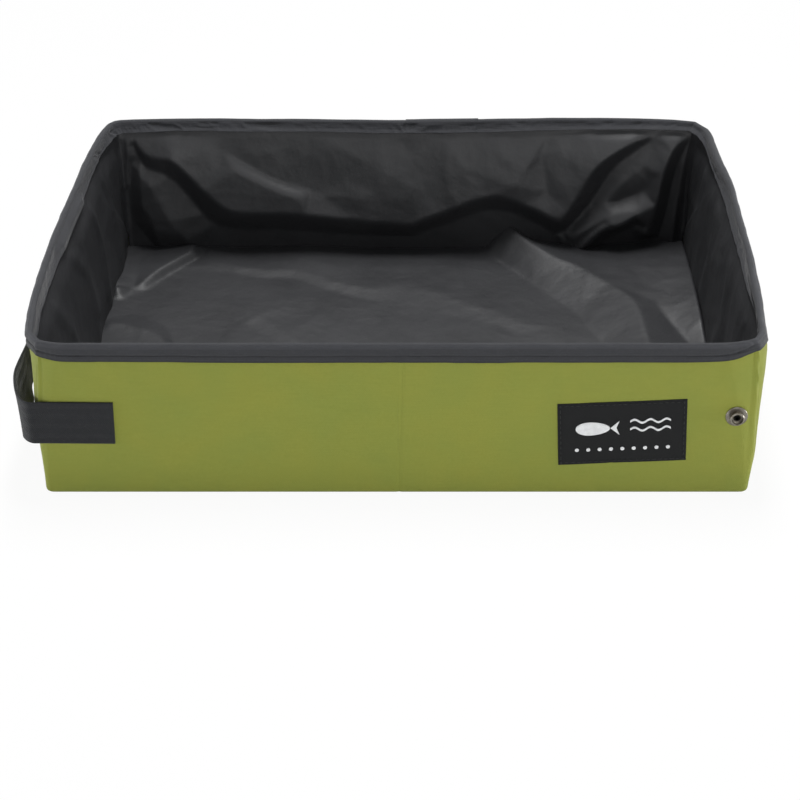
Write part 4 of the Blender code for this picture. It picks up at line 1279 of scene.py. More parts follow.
# Creases of the floor lining, picked in the photo, or set in millimetres across, back and up
FLOOR_CREASES = {
    "right crest": on_floor(
        FLOOR_RIGHT_VIEW,
        (500, 20, 19), (540, 55, 16), (600, 95, 13.5), (660, 130, 12), (740, 160, 11.5), (800, 195, 11),
        (870, 235, 10.5), (940, 262, 9.5), (1000, 290, 8.5), (1100, 325, 7.5), (1180, 355, 8),
        (1240, 380, 9.5),
    ),
    "spur to the front": [
        *on_floor(FLOOR_RIGHT_VIEW, (870, 235, 10.5)),
        (146, 64, 11), (152, 52, 11), (155, 34, 10.5), (156.5, 8, 9.5), (159, -30, 8), (153, -80, 3),
    ],
    "foot of the right crest": [
        *on_floor(
            FLOOR_RIGHT_VIEW,
            (360, 92, 1.5), (450, 155, 0.6), (560, 230, 0.5), (650, 290, 0.5), (740, 350, 0.5),
            (800, 420, 0.5), (860, 485, 0.5),
        ),
        (132, -40, 0.5), (130, -90, 0.5),
    ],
    "foot of the spur": [
        (172, 41, 5.5), (178, 29, 3.5), (184, 15, 1.8), (187, 1, 1), (188, -30, 1), (184, -90, 1)
    ],
    "second crest": on_floor(
        FLOOR_RIGHT_VIEW, (820, 165, 9.5), (920, 205, 9), (1020, 245, 8.5), (1120, 270, 9)
    ),
    "place behind the second crest": on_floor(FLOOR_RIGHT_VIEW, (960, 170, 8)),
    "right edge": [
        (EDGE, REAR_EDGE, 8), (EDGE, 110, 11), (EDGE, 80, 12.5), (EDGE, 45, 12), (EDGE, 24, 8.5),
        (EDGE, 6, 3.5), (EDGE, -30, 2), (EDGE, -REAR_EDGE, 1),
    ],
    "rear edge at the right": [
        (72, REAR_EDGE, 20), (86, REAR_EDGE, 8), (110, REAR_EDGE, 5), (140, REAR_EDGE, 5),
        (170, REAR_EDGE, 6.5),
    ],
    "long crest": lowered(
        [
            *on_floor(
                FLOOR_LEFT_VIEW,
                (490, 95, 3.5), (640, 128, 4.4), (760, 145, 4.6), (880, 142, 4.8), (1000, 172, 4.8),
                (1100, 205, 4.8), (1250, 228, 4.4),
            ),
            *on_floor(
                FLOOR_RIGHT_VIEW,
                (60, 222, 4.2), (170, 255, 4.2), (300, 305, 4.2), (420, 338, 4.2), (520, 385, 3.5),
                (620, 402, 3.2),
            ),
        ],
        LONG_CREST_SHARE,
    ),
    "foot of the long crest": [
        *on_floor(
            FLOOR_LEFT_VIEW,
            (620, 172, 0.8), (760, 192, 0.8), (900, 196, 0.8), (1050, 245, 0.8), (1200, 285, 0.8),
            (1390, 312, 0.8),
        ),
        *on_floor(FLOOR_RIGHT_VIEW, (120, 330, 0.8), (260, 368, 0.8), (400, 398, 0.8), (520, 435, 0.8)),
    ],
    "rear edge": [
        (-152, REAR_EDGE, 6), (-140, REAR_EDGE, 3), (-100, REAR_EDGE, 2.6), (-68, REAR_EDGE, 4.2),
        (-30, REAR_EDGE, 1.6), (0, REAR_EDGE, 1.2), (40, REAR_EDGE, 1.4), (56, REAR_EDGE, 2.5),
    ],
    "left fold": lowered(
        on_floor(FLOOR_LEFT_VIEW, (452, 60, 9), (380, 98, 8.5), (300, 143, 8), (228, 200, 6)), LEFT_FOLD_SHARE
    ),
    "foot of the left fold": lowered(
        on_floor(FLOOR_LEFT_VIEW, (478, 98, 1.5), (424, 128, 1), (354, 168, 1), (292, 208, 1), (240, 245, 1)),
        LEFT_FOLD_SHARE,
    ),
    "rear edge at the left": lowered([(-170, REAR_EDGE, 4.5), (-185, REAR_EDGE, 4)], LEFT_FOLD_SHARE),
    "left hollow": lowered(
        on_floor(FLOOR_LEFT_VIEW, (222, 100, 3), (206, 165, 3.5), (188, 235, 2.5)), LEFT_FOLD_SHARE
    ),
    "left edge": lowered(
        [
            (-EDGE, REAR_EDGE, 5), (-EDGE, 132, 3), (-EDGE, 100, 4), (-EDGE, 86, 8), (-EDGE, 72, 3),
            (-EDGE, 40, 5), (-EDGE, 10, 4), (-EDGE, -40, 2), (-EDGE, -REAR_EDGE, 1),
        ],
        LEFT_FOLD_SHARE,
    ),
    "place at the left": on_floor(FLOOR_LEFT_VIEW, (136, 290, 1.5)),
    "left ridge": [
        *on_floor(FLOOR_LEFT_VIEW, (90, 388, 5.5), (180, 402, 5), (290, 434, 4.5), (322, 474, 4)),
        (-172, -10, 3.5), (-178, -50, 2),
    ],
    "foot of the left ridge": on_floor(
        FLOOR_LEFT_VIEW, (200, 352, 0.8), (310, 398, 0.8), (350, 428, 0.7), (362, 470, 0.7)
    ),
    "low wave": on_floor(FLOOR_LEFT_VIEW, (690, 330, 2.4), (735, 268, 1.6)),
    "hollow by the wave": on_floor(FLOOR_LEFT_VIEW, (630, 372, 0.4), (560, 300, 0.6)),
    "left rise": [(-130, -20, 0.6), (-95, -60, 3.5), (-80, -110, 2.5)],
    "middle rise": [(-30, -30, 0.6), (15, -50, 3.2), (60, -90, 3), (70, -125, 1)],
    "flat place in the middle": [(90, -20, 0.6)],
    "flat place at the front left": [(-140, -110, 1)],
    "flat place at the front": [(-20, -105, 0.6)],
    "flat place at the front right": [(110, -115, 1)],
    "front edge": [(0, -REAR_EDGE, 1)],
    "tip of the left fold": moved(on_floor(FLOOR_LEFT_VIEW, (84, 226, 8)), (4.1, 0, 0)),
}


def floor_lift(x, y, share):
    """Height of the floor lining's folds."""
    if "floor" not in RELIEFS:
        RELIEFS["floor"] = relief(FLOOR_CREASES.values(), (-0.1966, -0.1466), (0.1966, 0.1466), 0.0016)
    small = 0.0005 * crumple(x, y, 0.034, 9) + 0.00022 * crumple(x, y, 0.012, 19)
    return share * relief_at(RELIEFS["floor"], x, y) + small


class TRAY_OT_lining(Operator):
    """Hang the loose coated lining in the tray: floor, walls, ends and gussets"""

    bl_idname = "tray.lining"
    bl_label = "Lining"

    def hang(self, name, points, uv, side):
        return thicken(grid_object(name, points, uv, finish("lining"), flip=side < 0), LINING_THICK)

    def execute(self, context):
        sizes = context.scene.tray_sizes
        cell = sizes.lining_cell
        for half, side in HALVES.items():
            low_rows = np.linspace(BOARD_TOP + 0.0006, LONG_HINGE - GAP, 9)
            high_rows = np.linspace(LONG_HINGE, CLOTH_TOP, round((CLOTH_TOP - LONG_HINGE) / cell))
            heights = np.concatenate([low_rows, high_rows])
            us, grid, uv = lining_grid(half, cell, heights)
            first_high = len(low_rows)
            for row in ROWS:
                pick = on_span(us, WALL_SPAN[row])
                made = self.hang(
                    f"{row}_wall_lining_{half}", grid[first_high - 1 :, pick], uv[first_high - 1 :, pick],
                    side,
                )
                fold_flat(made, f"{row}_{half}")
                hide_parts(f"{row}_lining_{half}")
                pick = on_span(us, GUSSET_SPAN[row])
                made = self.hang(
                    f"{row}_gusset_lining_{half}", grid[first_high:, pick], uv[first_high:, pick], side
                )
                fold_end(made, f"gusset_{row}_{half}")
                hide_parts(f"gusset_lining_{row}_{half}")
            end_rows = heights >= END_HINGE - END_LAP
            pick = on_span(us, END_SPAN)
            made = self.hang(f"end_wall_lining_{half}", grid[end_rows][:, pick], uv[end_rows][:, pick], side)
            fold_end(made, f"end_{half}")
            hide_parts(f"end_lining_{half}")

            near_end = np.linspace(INNER_X - 0.004, INNER_X - 0.0004, 5)
            near_wall = np.linspace(INNER_Y - 0.004, INNER_Y - 0.0004, 5)
            xs = np.linspace(0, INNER_X - 0.004, round(INNER_X / cell))
            ys = np.linspace(-INNER_Y + 0.004, INNER_Y - 0.004, round(2 * INNER_Y / cell))
            xs = np.unique(np.concatenate([xs, near_end]))
            ys = np.unique(np.concatenate([ys, near_wall, -near_wall]))
            gx, gy = np.meshgrid(xs, ys)
            fx = gx * side
            z = BOARD_TOP + 0.0007 + floor_lift(fx, gy, sizes.floor_folds)
            floor = grid_object(
                f"floor_part_{half}", raised(np.stack([fx, gy, z], -1)), np.stack([fx, gy], -1),
                finish("lining"), flip=side < 0,
            )
            keep = np.zeros((len(low_rows) - 1, len(us) - 1), bool)
            middle = (us[:-1] + us[1:]) / 2
            keep[:, (middle < 1) | (middle > 4)] = True
            lows = low_rows[:-1] < END_HINGE - END_LAP
            keep[np.ix_(lows, (middle > 2) & (middle < 3))] = True
            skirt = grid_object(
                f"skirt_part_{half}", grid[: len(low_rows)], uv[: len(low_rows)], finish("lining"),
                flip=side < 0, keep=keep,
            )
            made = thicken(joined(f"floor_cloth_lining_{half}", [floor, skirt]), LINING_THICK)
            fold_flat(made, f"base_{half}")
            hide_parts(f"floor_lining_{half}")
        return {"FINISHED"}


# Rim tape

# Height of the lower edge of the tape on the front, and of the inner flap's on the rear
FRONT_TAPE_AT = (-0.2006, -0.1971, -0.1814, -0.1075, 0.0, 0.1607, 0.1781, 0.1868, 0.1967, 0.2030)
FRONT_TAPE_LOW = (0.0936, 0.0914, 0.0898, 0.0894, 0.0891, 0.0894, 0.0901, 0.0916, 0.0945, 0.0955)
REAR_TAPE_AT = (-0.200, -0.150, -0.060, 0.010, 0.080, 0.150, 0.200)
REAR_TAPE_LOW = (0.0925, 0.0935, 0.0932, 0.0925, 0.0930, 0.0942, 0.0950)
TAPE_TOP = TOP - 0.0020
INNER_TAPE_INSET = 0.0028
TAPE_THICK = 0.00045


def tape_low(half, u, inner):
    """The lower edge of a flap of the tape."""
    u = np.asarray(u, float)
    x = HALVES[half] * np.interp(u, (0, 1, 4, 5), (0, HALF_X, HALF_X, 0))
    wave = 0.00025 * soft_noise(u * 0.2, np.zeros_like(u), 0.028, 41 if half == "left" else 42)
    front = curve_through(x, FRONT_TAPE_AT, FRONT_TAPE_LOW, 0.003)
    rear = curve_through(x, REAR_TAPE_AT, REAR_TAPE_LOW, 0.012)
    if not inner:
        rear = np.full_like(x, TAPE_LOW + 0.0005)
    end = 0.0912 if inner else 0.0925
    on_front, on_rear = 1 - ease((u - 1.0) / 0.9), ease((u - 3.1) / 0.9)
    return wave + front * on_front + rear * on_rear + end * (1 - on_front - on_rear)


def tape_section(half, u):
    """Points of the tape across the rim at places u: outer flap, top fold and inner flap."""
    seed = 51 if half == "left" else 61
    u = np.asarray(u, float)
    length = np.interp(u, np.arange(6), (0, 0.205, 0.290, 0.410, 0.495, 0.70))
    at_rear = ease((u - 3.5) / 0.5)
    rows = []
    for inner in (False, True):
        z_low = tape_low(half, u, inner)
        for level in np.linspace(0, 1, 10)[:: -1 if inner else 1]:
            z = TAPE_LOW + (TAPE_TOP - TAPE_LOW) * level
            inset = WALL + 0.0004 - 0.0010 * ease(level / 0.8) if inner else -LIP
            place, out, _ = wall_point(half, u, z, inset, INNER_TAPE_INSET if inner else None)
            real_z = z_low + (TAPE_TOP - z_low) * level
            seam = z_low + (INNER_STITCH_UP if inner else STITCH_UP)
            groove = (0.00020 if inner else 0.00070) * np.exp(-(((real_z - seam) / 0.0007) ** 2))
            pucker = np.sin(length * math.tau / 0.0032) * 0.00007 * np.exp(-(((real_z - seam) / 0.0022) ** 2))
            swell = 0.00022 * soft_noise(length, real_z * 3, 0.016, seed)
            swell = swell + 0.00014 * soft_noise(length, real_z * 4, 0.006, seed + 1)
            if inner:
                slant = length + 0.9 * real_z
                ruck = 0.5 + 0.5 * soft_noise(slant * 0.4, real_z * 0, 0.013, seed + 6)
                small = crumple(slant, real_z * 1.2, 0.0080, seed + 5) - 0.55
                swell = swell + (0.0006 + 0.0011 * at_rear) * ruck * small
                flare = 0.00035 * (1 - ease((real_z - z_low) / 0.0009)) + 0.0016 * (1 - level) * at_rear
                roll = 0.0
                if half == "left":
                    y = place[:, 1]
                    arch = math.sin(math.pi * (0.22 + 0.78 * level))
                    roll = 0.0024 * ease((y + 0.040) / 0.02) * ease((0.052 - y) / 0.014) * arch
                shift = -(swell + flare + roll - groove + pucker)
            else:
                shift = swell - groove + pucker + 0.00012 * (1 - ease((real_z - z_low) / 0.0010))
            place = place + out * np.asarray(shift)[:, None]
            place[:, 2] = real_z
            rows.append(place)
        if not inner:
            over, _, _ = wall_point(half, u, TAPE_TOP, WALL - 0.0006, INNER_TAPE_INSET)
            for a in np.linspace(0, math.pi, 11)[1:-1]:
                share = (1 - math.cos(a)) / 2
                arch = place * (1 - share) + over * share
                uneven = soft_noise(length, np.full_like(length, share * 0.02), 0.02, seed + 2)
                dip = 0.00025 * (1 + uneven) / 2
                arch[:, 2] = TAPE_TOP + (TOP - TAPE_TOP) * math.sin(a) ** 0.75 - dip * math.sin(a)
                rows.append(arch)
    points = np.array(rows)
    run = np.concatenate([[0], np.cumsum(np.linalg.norm(np.diff(points, axis=0), axis=2).mean(1))])
    uv = np.array([np.stack([length * HALVES[half], np.full(len(length), v)], 1) for v in run])
    return raised(points), uv


class TRAY_OT_rim_tape(Operator):
    """Bind the rim with tape, panel by panel, with its overlap at the rear"""

    bl_idname = "tray.rim_tape"
    bl_label = "Rim Tape"

    def tape(self, name, half, us):
        points, uv = tape_section(half, us)
        return thicken(grid_object(name, points, uv, finish("tape"), flip=HALVES[half] > 0), TAPE_THICK)

    def execute(self, context):
        cell = context.scene.tray_sizes.tape_cell
        for half, side in HALVES.items():
            for row in ROWS:
                us = panel_us(*WALL_SPAN[row], cell)
                made = self.tape(f"{row}_tape_{half}", half, us)
                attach(made, f"{row}_{half}")
                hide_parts(f"{row}_binding_{half}")
                us = panel_us(*GUSSET_SPAN[row], cell)
                made = self.tape(f"{row}_gusset_tape_{half}", half, us)
                fold_end(made, f"gusset_{row}_{half}")
                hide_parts(f"gusset_binding_{row}_{half}")
            made = self.tape(f"end_tape_{half}", half, panel_us(*END_SPAN, cell))
            fold_end(made, f"end_{half}")
            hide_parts(f"end_binding_{half}")
        line = self.overlap()
        made = stitches("overlap_stitches", [line], "pale_thread")
        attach(made, "rear_right")
        return {"FINISHED"}

    def overlap(self):
        """The end of the tape, laid over its start at the rear."""
        us = np.linspace(4.752, 4.997, 90)
        points, uv = tape_section("right", us)
        across = np.gradient(points, axis=0)
        away = np.stack([np.zeros_like(across[..., 0]), across[..., 2], -across[..., 1]], -1)
        away /= np.maximum(np.linalg.norm(away, axis=2), 1e-9)[..., None]
        points = points + away * 0.00055
        made = thicken(grid_object("tape_overlap", points, uv, finish("tape"), flip=True), TAPE_THICK)
        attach(made, "rear_right")
        return points[-2] + away[-2] * 0.0001


# Stitches
def stitch_tree():
    """Geometry Nodes that sew stitches along lines, made once."""
    if "sewn_stitches" in bpy.data.node_groups:
        return bpy.data.node_groups["sewn_stitches"]
    tree = bpy.data.node_groups.new("sewn_stitches", "GeometryNodeTree")
    face = tree.interface
    face.new_socket("Geometry", in_out="INPUT", socket_type="NodeSocketGeometry")
    for name, value in (("Pitch", 0.003), ("Length", 0.0024), ("Radius", 0.0002)):
        face.new_socket(name, in_out="INPUT", socket_type="NodeSocketFloat").default_value = value
    face.new_socket("Thread", in_out="INPUT", socket_type="NodeSocketMaterial")
    face.new_socket("Seed", in_out="INPUT", socket_type="NodeSocketInt").default_value = 7
    face.new_socket("Geometry", in_out="OUTPUT", socket_type="NodeSocketGeometry")
    add, join = tree.nodes.new, tree.links.new
    given, result = add("NodeGroupInput"), add("NodeGroupOutput")
    line = add("GeometryNodeMeshToCurve")
    points = add("GeometryNodeResampleCurve")
    points.mode = "LENGTH"
    tangent = add("GeometryNodeInputTangent")
    turn = add("FunctionNodeAlignRotationToVector")
    turn.axis = "X"
    place = add("GeometryNodeInstanceOnPoints")
    ball = add("GeometryNodeMeshUVSphere")
    ball.inputs["Segments"].default_value = 8
    ball.inputs["Rings"].default_value = 5
    ball.inputs["Radius"].default_value = 1.0
    squash = add("GeometryNodeTransform")
    size = add("ShaderNodeCombineXYZ")
    half_length = add("ShaderNodeMath")
    half_length.operation = "MULTIPLY"
    half_length.inputs[1].default_value = 0.5
    vary = add("FunctionNodeRandomValue")
    vary.inputs[2].default_value = 0.86
    vary.inputs[3].default_value = 1.08
    smooth = add("GeometryNodeSetShadeSmooth")
    real = add("GeometryNodeRealizeInstances")
    paint = add("GeometryNodeSetMaterial")
    join(given.outputs["Geometry"], line.inputs["Mesh"])
    join(line.outputs["Curve"], points.inputs["Curve"])
    join(given.outputs["Pitch"], points.inputs["Length"])
    join(points.outputs["Curve"], place.inputs["Points"])
    join(tangent.outputs[0], turn.inputs["Vector"])
    join(turn.outputs[0], place.inputs["Rotation"])
    join(given.outputs["Length"], half_length.inputs[0])
    join(half_length.outputs[0], size.inputs[0])
    join(given.outputs["Radius"], size.inputs[1])
    join(given.outputs["Radius"], size.inputs[2])
    join(ball.outputs["Mesh"], squash.inputs["Geometry"])
    join(size.outputs[0], squash.inputs["Scale"])
    join(squash.outputs["Geometry"], place.inputs["Instance"])
    join(given.outputs["Seed"], vary.inputs["Seed"])
    join(vary.outputs[1], place.inputs["Scale"])
    join(place.outputs["Instances"], smooth.inputs["Geometry"])
    join(smooth.outputs["Geometry"], real.inputs["Geometry"])
    join(real.outputs["Geometry"], paint.inputs["Geometry"])
    join(given.outputs["Thread"], paint.inputs["Material"])
    join(paint.outputs["Geometry"], result.inputs["Geometry"])
    return tree


def stitches(name, lines, thread):
    """Stitches along several lines, as one plain mesh."""
    sizes, tree = bpy.context.scene.tray_sizes, stitch_tree()
    vertices, edges = [], []
    for line in lines:
        start = len(vertices)
        vertices += [tuple(map(float, p)) for p in line]
        edges += [(start + i, start + i + 1) for i in range(len(line) - 1)]
    mesh = bpy.data.meshes.new(name)
    mesh.from_pydata(vertices, edges, [])
    made = placed(name, mesh)
    sewn = made.modifiers.new("stitches", "NODES")
    sewn.node_group = tree
    ids = {item.name: item.identifier for item in tree.interface.items_tree if item.in_out == "INPUT"}
    sewn[ids["Pitch"]] = sizes.stitch_pitch
    sewn[ids["Length"]] = sizes.stitch_length
    sewn[ids["Radius"]] = sizes.thread
    sewn[ids["Thread"]] = finish(thread)
    sewn[ids["Seed"]] = 7
    return plain_mesh(made)


def points_between(a, b):
    """Even points from one place to another, for a straight line of stitches."""
    return [(a[0] + (b[0] - a[0]) * t, a[1] + (b[1] - a[1]) * t) for t in np.linspace(0, 1, 30)]


def rim_lines(half, first, last):
    """The two lines of rim stitching over a span: one on the outer flap and one on the inner."""
    us = np.linspace(first + 0.004, last - 0.004, 160)
    points, _ = tape_section(half, us)
    lines = []
    for flap, up in ((points[:10], STITCH_UP), (points[:-11:-1], INNER_STITCH_UP)):
        level = flap[..., 2]
        columns = range(len(us))
        line = [[np.interp(level[0, i] + up, level[:, i], flap[:, i, k]) for k in range(3)] for i in columns]
        lines.append(np.array(line))
    return lines


def seam_lines(half, row):
    """The two lines of stitching down the corner seam at one end of a long wall."""
    lines = []
    for away in (0.0002, 0.0019):
        line = []
        for inset, z in foot_rows(TAPE_LOW, 0.003)[3:]:
            *_, marks, creases = plan(half, z, inset)
            u = np.interp(creases[0] - away if row == "front" else creases[1] + away, marks, np.arange(6))
            line.append(cloth_surface(half, np.array([u, u]), inset, z)[0][0])
        lines.append(line)
    return lines


class TRAY_OT_stitching(Operator):
    """Sew the stitches along the rim tape and down the corner seams"""

    bl_idname = "tray.stitching"
    bl_label = "Stitching"

    def execute(self, context):
        for half, side in HALVES.items():
            for row in ROWS:
                lines = rim_lines(half, *WALL_SPAN[row])
                made = stitches(f"{row}_rim_stitches_{half}", lines, "dark_thread")
                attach(made, f"{row}_{half}")
                made = stitches(f"{row}_seam_stitches_{half}", seam_lines(half, row), "green_thread")
                bend_at_foot(made, row, half)
                lines = rim_lines(half, *GUSSET_SPAN[row])
                made = stitches(f"{row}_gusset_stitches_{half}", lines, "dark_thread")
                fold_end(made, f"gusset_{row}_{half}")
            made = stitches(f"end_rim_stitches_{half}", rim_lines(half, *END_SPAN), "dark_thread")
            fold_end(made, f"end_{half}")
        return {"FINISHED"}


# Strap
STRAP_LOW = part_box("strap_tab")[0]
STRAP_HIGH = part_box("strap_tab")[1]
STRAP_MID = (STRAP_LOW.z + STRAP_HIGH.z) / 2
STRAP_WIDE = STRAP_HIGH.z - STRAP_LOW.z
STRAP_THICK = STRAP_HIGH.y - STRAP_LOW.y
STRAP_TAB_LONG = STRAP_HIGH.x + HALF_X
STRAP_ROOT = Vector((-HALF_X - STRAP_THICK / 2 - GAP, -HALF_Y - GAP - STRAP_THICK / 2))
STRAP_OUT = 0.021
STRAP_REACH = 0.088
STRAP_ROUTE_SHARES = (
    (0.0, 0.0), (0.24, 0.004), (0.44, 0.045), (0.62, 0.13), (0.78, 0.26), (0.87, 0.38), (0.88, 0.50),
    (0.84, 0.70),
)
STRAP_END_SHARE = 0.80
STRAP_STRAIGHT_END = 0.022


def strap_line():
    """The middle of the strap seen from above, from its sewn end to its tip."""
    knots = [STRAP_ROOT + Vector((-out * STRAP_OUT, run * STRAP_REACH)) for out, run in STRAP_ROUTE_SHARES]
    end = STRAP_ROOT + Vector((-STRAP_END_SHARE * STRAP_OUT, STRAP_REACH))
    heading = (end - knots[-1]).normalized()
    knots += [end - heading * STRAP_STRAIGHT_END, end]
    points = []
    for i in range(len(knots) - 1):
        before = knots[i - 1] if i else knots[0] * 2 - knots[1]
        after = knots[i + 2] if i + 2 < len(knots) else knots[-1] * 2 - knots[-2]
        count = max(4, round((knots[i + 1] - knots[i]).length / 0.0009))
        for step in range(count):
            leave, arrive = (knots[i + 1] - before) / 2, (after - knots[i]) / 2
            points.append(curve_point(step / count, knots[i], leave, knots[i + 1], arrive))
    points.append(knots[-1])
    tab = [Vector((x, STRAP_ROOT.y)) for x in np.linspace(STRAP_HIGH.x - 0.0006, STRAP_ROOT.x - 0.0002, 50)]
    return np.array([tuple(p) for p in tab + points[1:]])


class TRAY_OT_strap(Operator):
    """Weave the closure strap and sew its end to the front"""

    bl_idname = "tray.strap"
    bl_label = "Strap"

    def execute(self, context):
        line = strap_line()
        tangent = np.gradient(line, axis=0)
        tangent /= np.linalg.norm(tangent, axis=1)[:, None]
        out = np.stack([tangent[:, 1], -tangent[:, 0]], 1)
        out = -out if out[5, 1] > 0 else out
        run = np.concatenate([[0], np.cumsum(np.linalg.norm(np.diff(line, axis=0), axis=1))])
        half_wide, half_thick, edge = STRAP_WIDE / 2, STRAP_THICK / 2, STRAP_THICK / 2
        flat = np.linspace(-half_wide + edge, half_wide - edge, 20)
        turn = np.linspace(0, math.pi, 7)[1:-1]
        section = [(v, half_thick) for v in flat]
        section += [(half_wide - edge + edge * math.sin(a), half_thick * math.cos(a)) for a in turn]
        section += [(v, -half_thick) for v in flat[::-1]]
        section += [(-half_wide + edge - edge * math.sin(a), -half_thick * math.cos(a)) for a in turn]
        slant = -0.0010 * ease((0.030 - run) / 0.030)
        lean = 0.0060 * ease((run - STRAP_TAB_LONG - 0.012) / 0.022) * ease((run[-1] - 0.022 - run) / 0.024)
        rows, uvs = [], []
        for up, depth in section + section[:1]:
            bump = 0.00006 * math.sin(up / 0.0016 * math.tau) if abs(depth) == half_thick else 0.0
            xy = line + out * (depth + math.copysign(bump, depth))
            xy[:, 0] += slant * (0.5 - up / STRAP_WIDE)
            xy -= out * (lean * (0.5 - up / STRAP_WIDE))[:, None]
            sag = -0.0006 * ease((run - 0.045) / 0.03) + 0.0003 * np.sin(run / 0.031)
            rows.append(np.stack([xy[:, 0], xy[:, 1], STRAP_MID + up + sag], 1))
            uvs.append(np.stack([run, np.full(len(run), up)], 1))
        points, uv = np.array(rows), np.array(uvs)
        made = grid_object("strap_webbing_band", points, uv, finish("webbing"))
        close_tube(made)
        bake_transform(made)
        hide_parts("strap_tab", "strap_band")
        front = STRAP_ROOT.y - half_thick + 0.00010
        right, left = STRAP_HIGH.x - 0.0040, -HALF_X + 0.0060
        low, high = STRAP_MID - half_wide + 0.0026, STRAP_MID + half_wide - 0.0026
        box = [(right, low), (right, high), (left, high), (left, low), (right, low)]
        cross = [[(right, low), (left, high)], [(left, low), (right, high)]]
        lines = []
        for a, b in list(zip(box[:-1], box[1:])) + [tuple(c) for c in cross]:
            lines.append([(x, front, z) for x, z in points_between(a, b)])
        made = stitches("strap_stitches", lines, "dark_thread")
        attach(made, "front_left")
        return {"FINISHED"}


# Label
LABEL_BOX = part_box("woven_label")
LABEL_TILT = math.radians(2.7)
LABEL_SEAM_IN = 0.0016
LABEL_LONG, LABEL_TALL, LABEL_THICK = 0.0722, 0.0408, 0.00035
LABEL_MIDDLE = (LABEL_BOX[0] + LABEL_BOX[1]) / 2 - Vector((0.0008, 0, 0))


def on_label(points):
    """Points drawn on the label in metres, as places in the frame. The label leans a little."""
    middle = LABEL_MIDDLE
    c, s = math.cos(LABEL_TILT), math.sin(LABEL_TILT)
    return [(middle.x + c * a - s * b, LABEL_BOX[0].y, middle.z + s * a + c * b) for a, b in points]


def satin_shape(name, outline):
    """A small closed shape of satin stitch, raised from the label."""
    lift, thickness = 0.0002, 0.0003
    curve = bpy.data.curves.new(name, "CURVE")
    curve.dimensions = "2D"
    curve.fill_mode = "BOTH"
    curve.extrude = thickness / 2
    curve.bevel_depth = thickness * 0.35
    curve.bevel_resolution = 1
    line = curve.splines.new("POLY")
    line.points.add(len(outline) - 1)
    for point, (a, b) in zip(line.points, outline):
        point.co = (a, b, 0, 1)
    line.use_cyclic_u = True
    guide = placed(name, curve)
    bpy.context.view_layer.update()
    mesh = bpy.data.meshes.new_from_object(guide.evaluated_get(bpy.context.evaluated_depsgraph_get()))
    bpy.data.objects.remove(guide, do_unlink=True)
    middle = LABEL_MIDDLE
    place = Matrix.Translation((middle.x, LABEL_BOX[0].y - lift, middle.z))
    place = place @ Matrix.Rotation(-LABEL_TILT, 4, "Y") @ Matrix.Rotation(math.pi / 2, 4, "X")
    mesh.transform(place)
    layer = mesh.uv_layers.new(name="cloth") if not mesh.uv_layers else mesh.uv_layers[0]
    layer.name = "cloth"
    mesh.materials.clear()
    mesh.materials.append(finish("motif"))
    mesh.shade_flat()
    return placed(name, mesh)


class TRAY_OT_label(Operator):
    """Weave the label with its fish and waves, and sew it to the front"""

    bl_idname = "tray.label"
    bl_label = "Label"

    def execute(self, context):
        us, vs = np.linspace(-1, 1, 60), np.linspace(-1, 1, 36)
        gu, gv = np.meshgrid(us, vs)
        a, b = gu * LABEL_LONG / 2, gv * LABEL_TALL / 2
        edge = np.minimum(LABEL_LONG / 2 - np.abs(a), LABEL_TALL / 2 - np.abs(b))
        sewn_in = 0.00022 * np.exp(-(((edge - LABEL_SEAM_IN) / 0.0006) ** 2))
        lift = 0.00035 * ease(edge / 0.0022) - sewn_in + 0.00012 * soft_noise(a, b, 0.012, 71)
        middle = LABEL_MIDDLE
        c, s = math.cos(LABEL_TILT), math.sin(LABEL_TILT)
        points = np.stack(
            [middle.x + c * a - s * b, LABEL_BOX[0].y + 0.0003 - lift, middle.z + s * a + c * b], -1
        )
        made = thicken(grid_object("label_cloth", points, np.stack([a, b], -1), finish("label")), LABEL_THICK)
        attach(made, "front_right")
        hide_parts("woven_label")

        parts = []
        round_body, round_dot = (np.linspace(0, math.tau, count, endpoint=False) for count in (40, 14))
        body = [
            (0.0095 * math.cos(t) - 0.0165, 0.0042 * math.sin(t) * (1 - 0.18 * math.cos(t)) + 0.0035)
            for t in round_body
        ]
        parts.append(satin_shape("fish_body", body))
        tail = [(-0.0065, 0.0035), (-0.0018, 0.0078), (-0.0034, 0.0035), (-0.0018, -0.0008)]
        parts.append(satin_shape("fish_tail", tail))
        for k, (start, rise) in enumerate(((0.0045, 0.0080), (0.0045, 0.0028))):
            along = np.linspace(0, 1, 40)
            top = [(start + t * 0.0225, rise + 0.0011 * math.sin(t * math.tau * 2.5)) for t in along]
            low = [(p, q - 0.0011) for p, q in reversed(top)]
            parts.append(satin_shape(f"wave_{k}", top + low))
        for k in range(9):
            x = -0.0255 + k * 0.0064
            dot = [(x + 0.00105 * math.cos(t), -0.0105 + 0.00105 * math.sin(t)) for t in round_dot]
            parts.append(satin_shape(f"dot_{k}", dot))
        made = joined("label_motif", parts)
        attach(made, "front_right")

        w, h = LABEL_LONG / 2 - LABEL_SEAM_IN, LABEL_TALL / 2 - LABEL_SEAM_IN
        corners = [(-w, -h), (w, -h), (w, h), (-w, h), (-w, -h)]
        lines = []
        for p, q in zip(corners[:-1], corners[1:]):
            lines.append(on_label(points_between(p, q)))
        made = stitches("label_stitches", lines, "dark_thread")
        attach(made, "front_right")
        return {"FINISHED"}


class TRAY_OT_snaps(Operator):
    """Plate the snap fastener's stud, rivet, socket and cap"""

    bl_idname = "tray.snaps"
    bl_label = "Snap Fastener"

    def execute(self, context):
        for node in ("snap_stud", "stud_rivet", "snap_socket", "snap_cap"):
            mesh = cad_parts[node].data
            mesh.materials.clear()
            mesh.materials.append(finish("metal"))
        return {"FINISHED"}


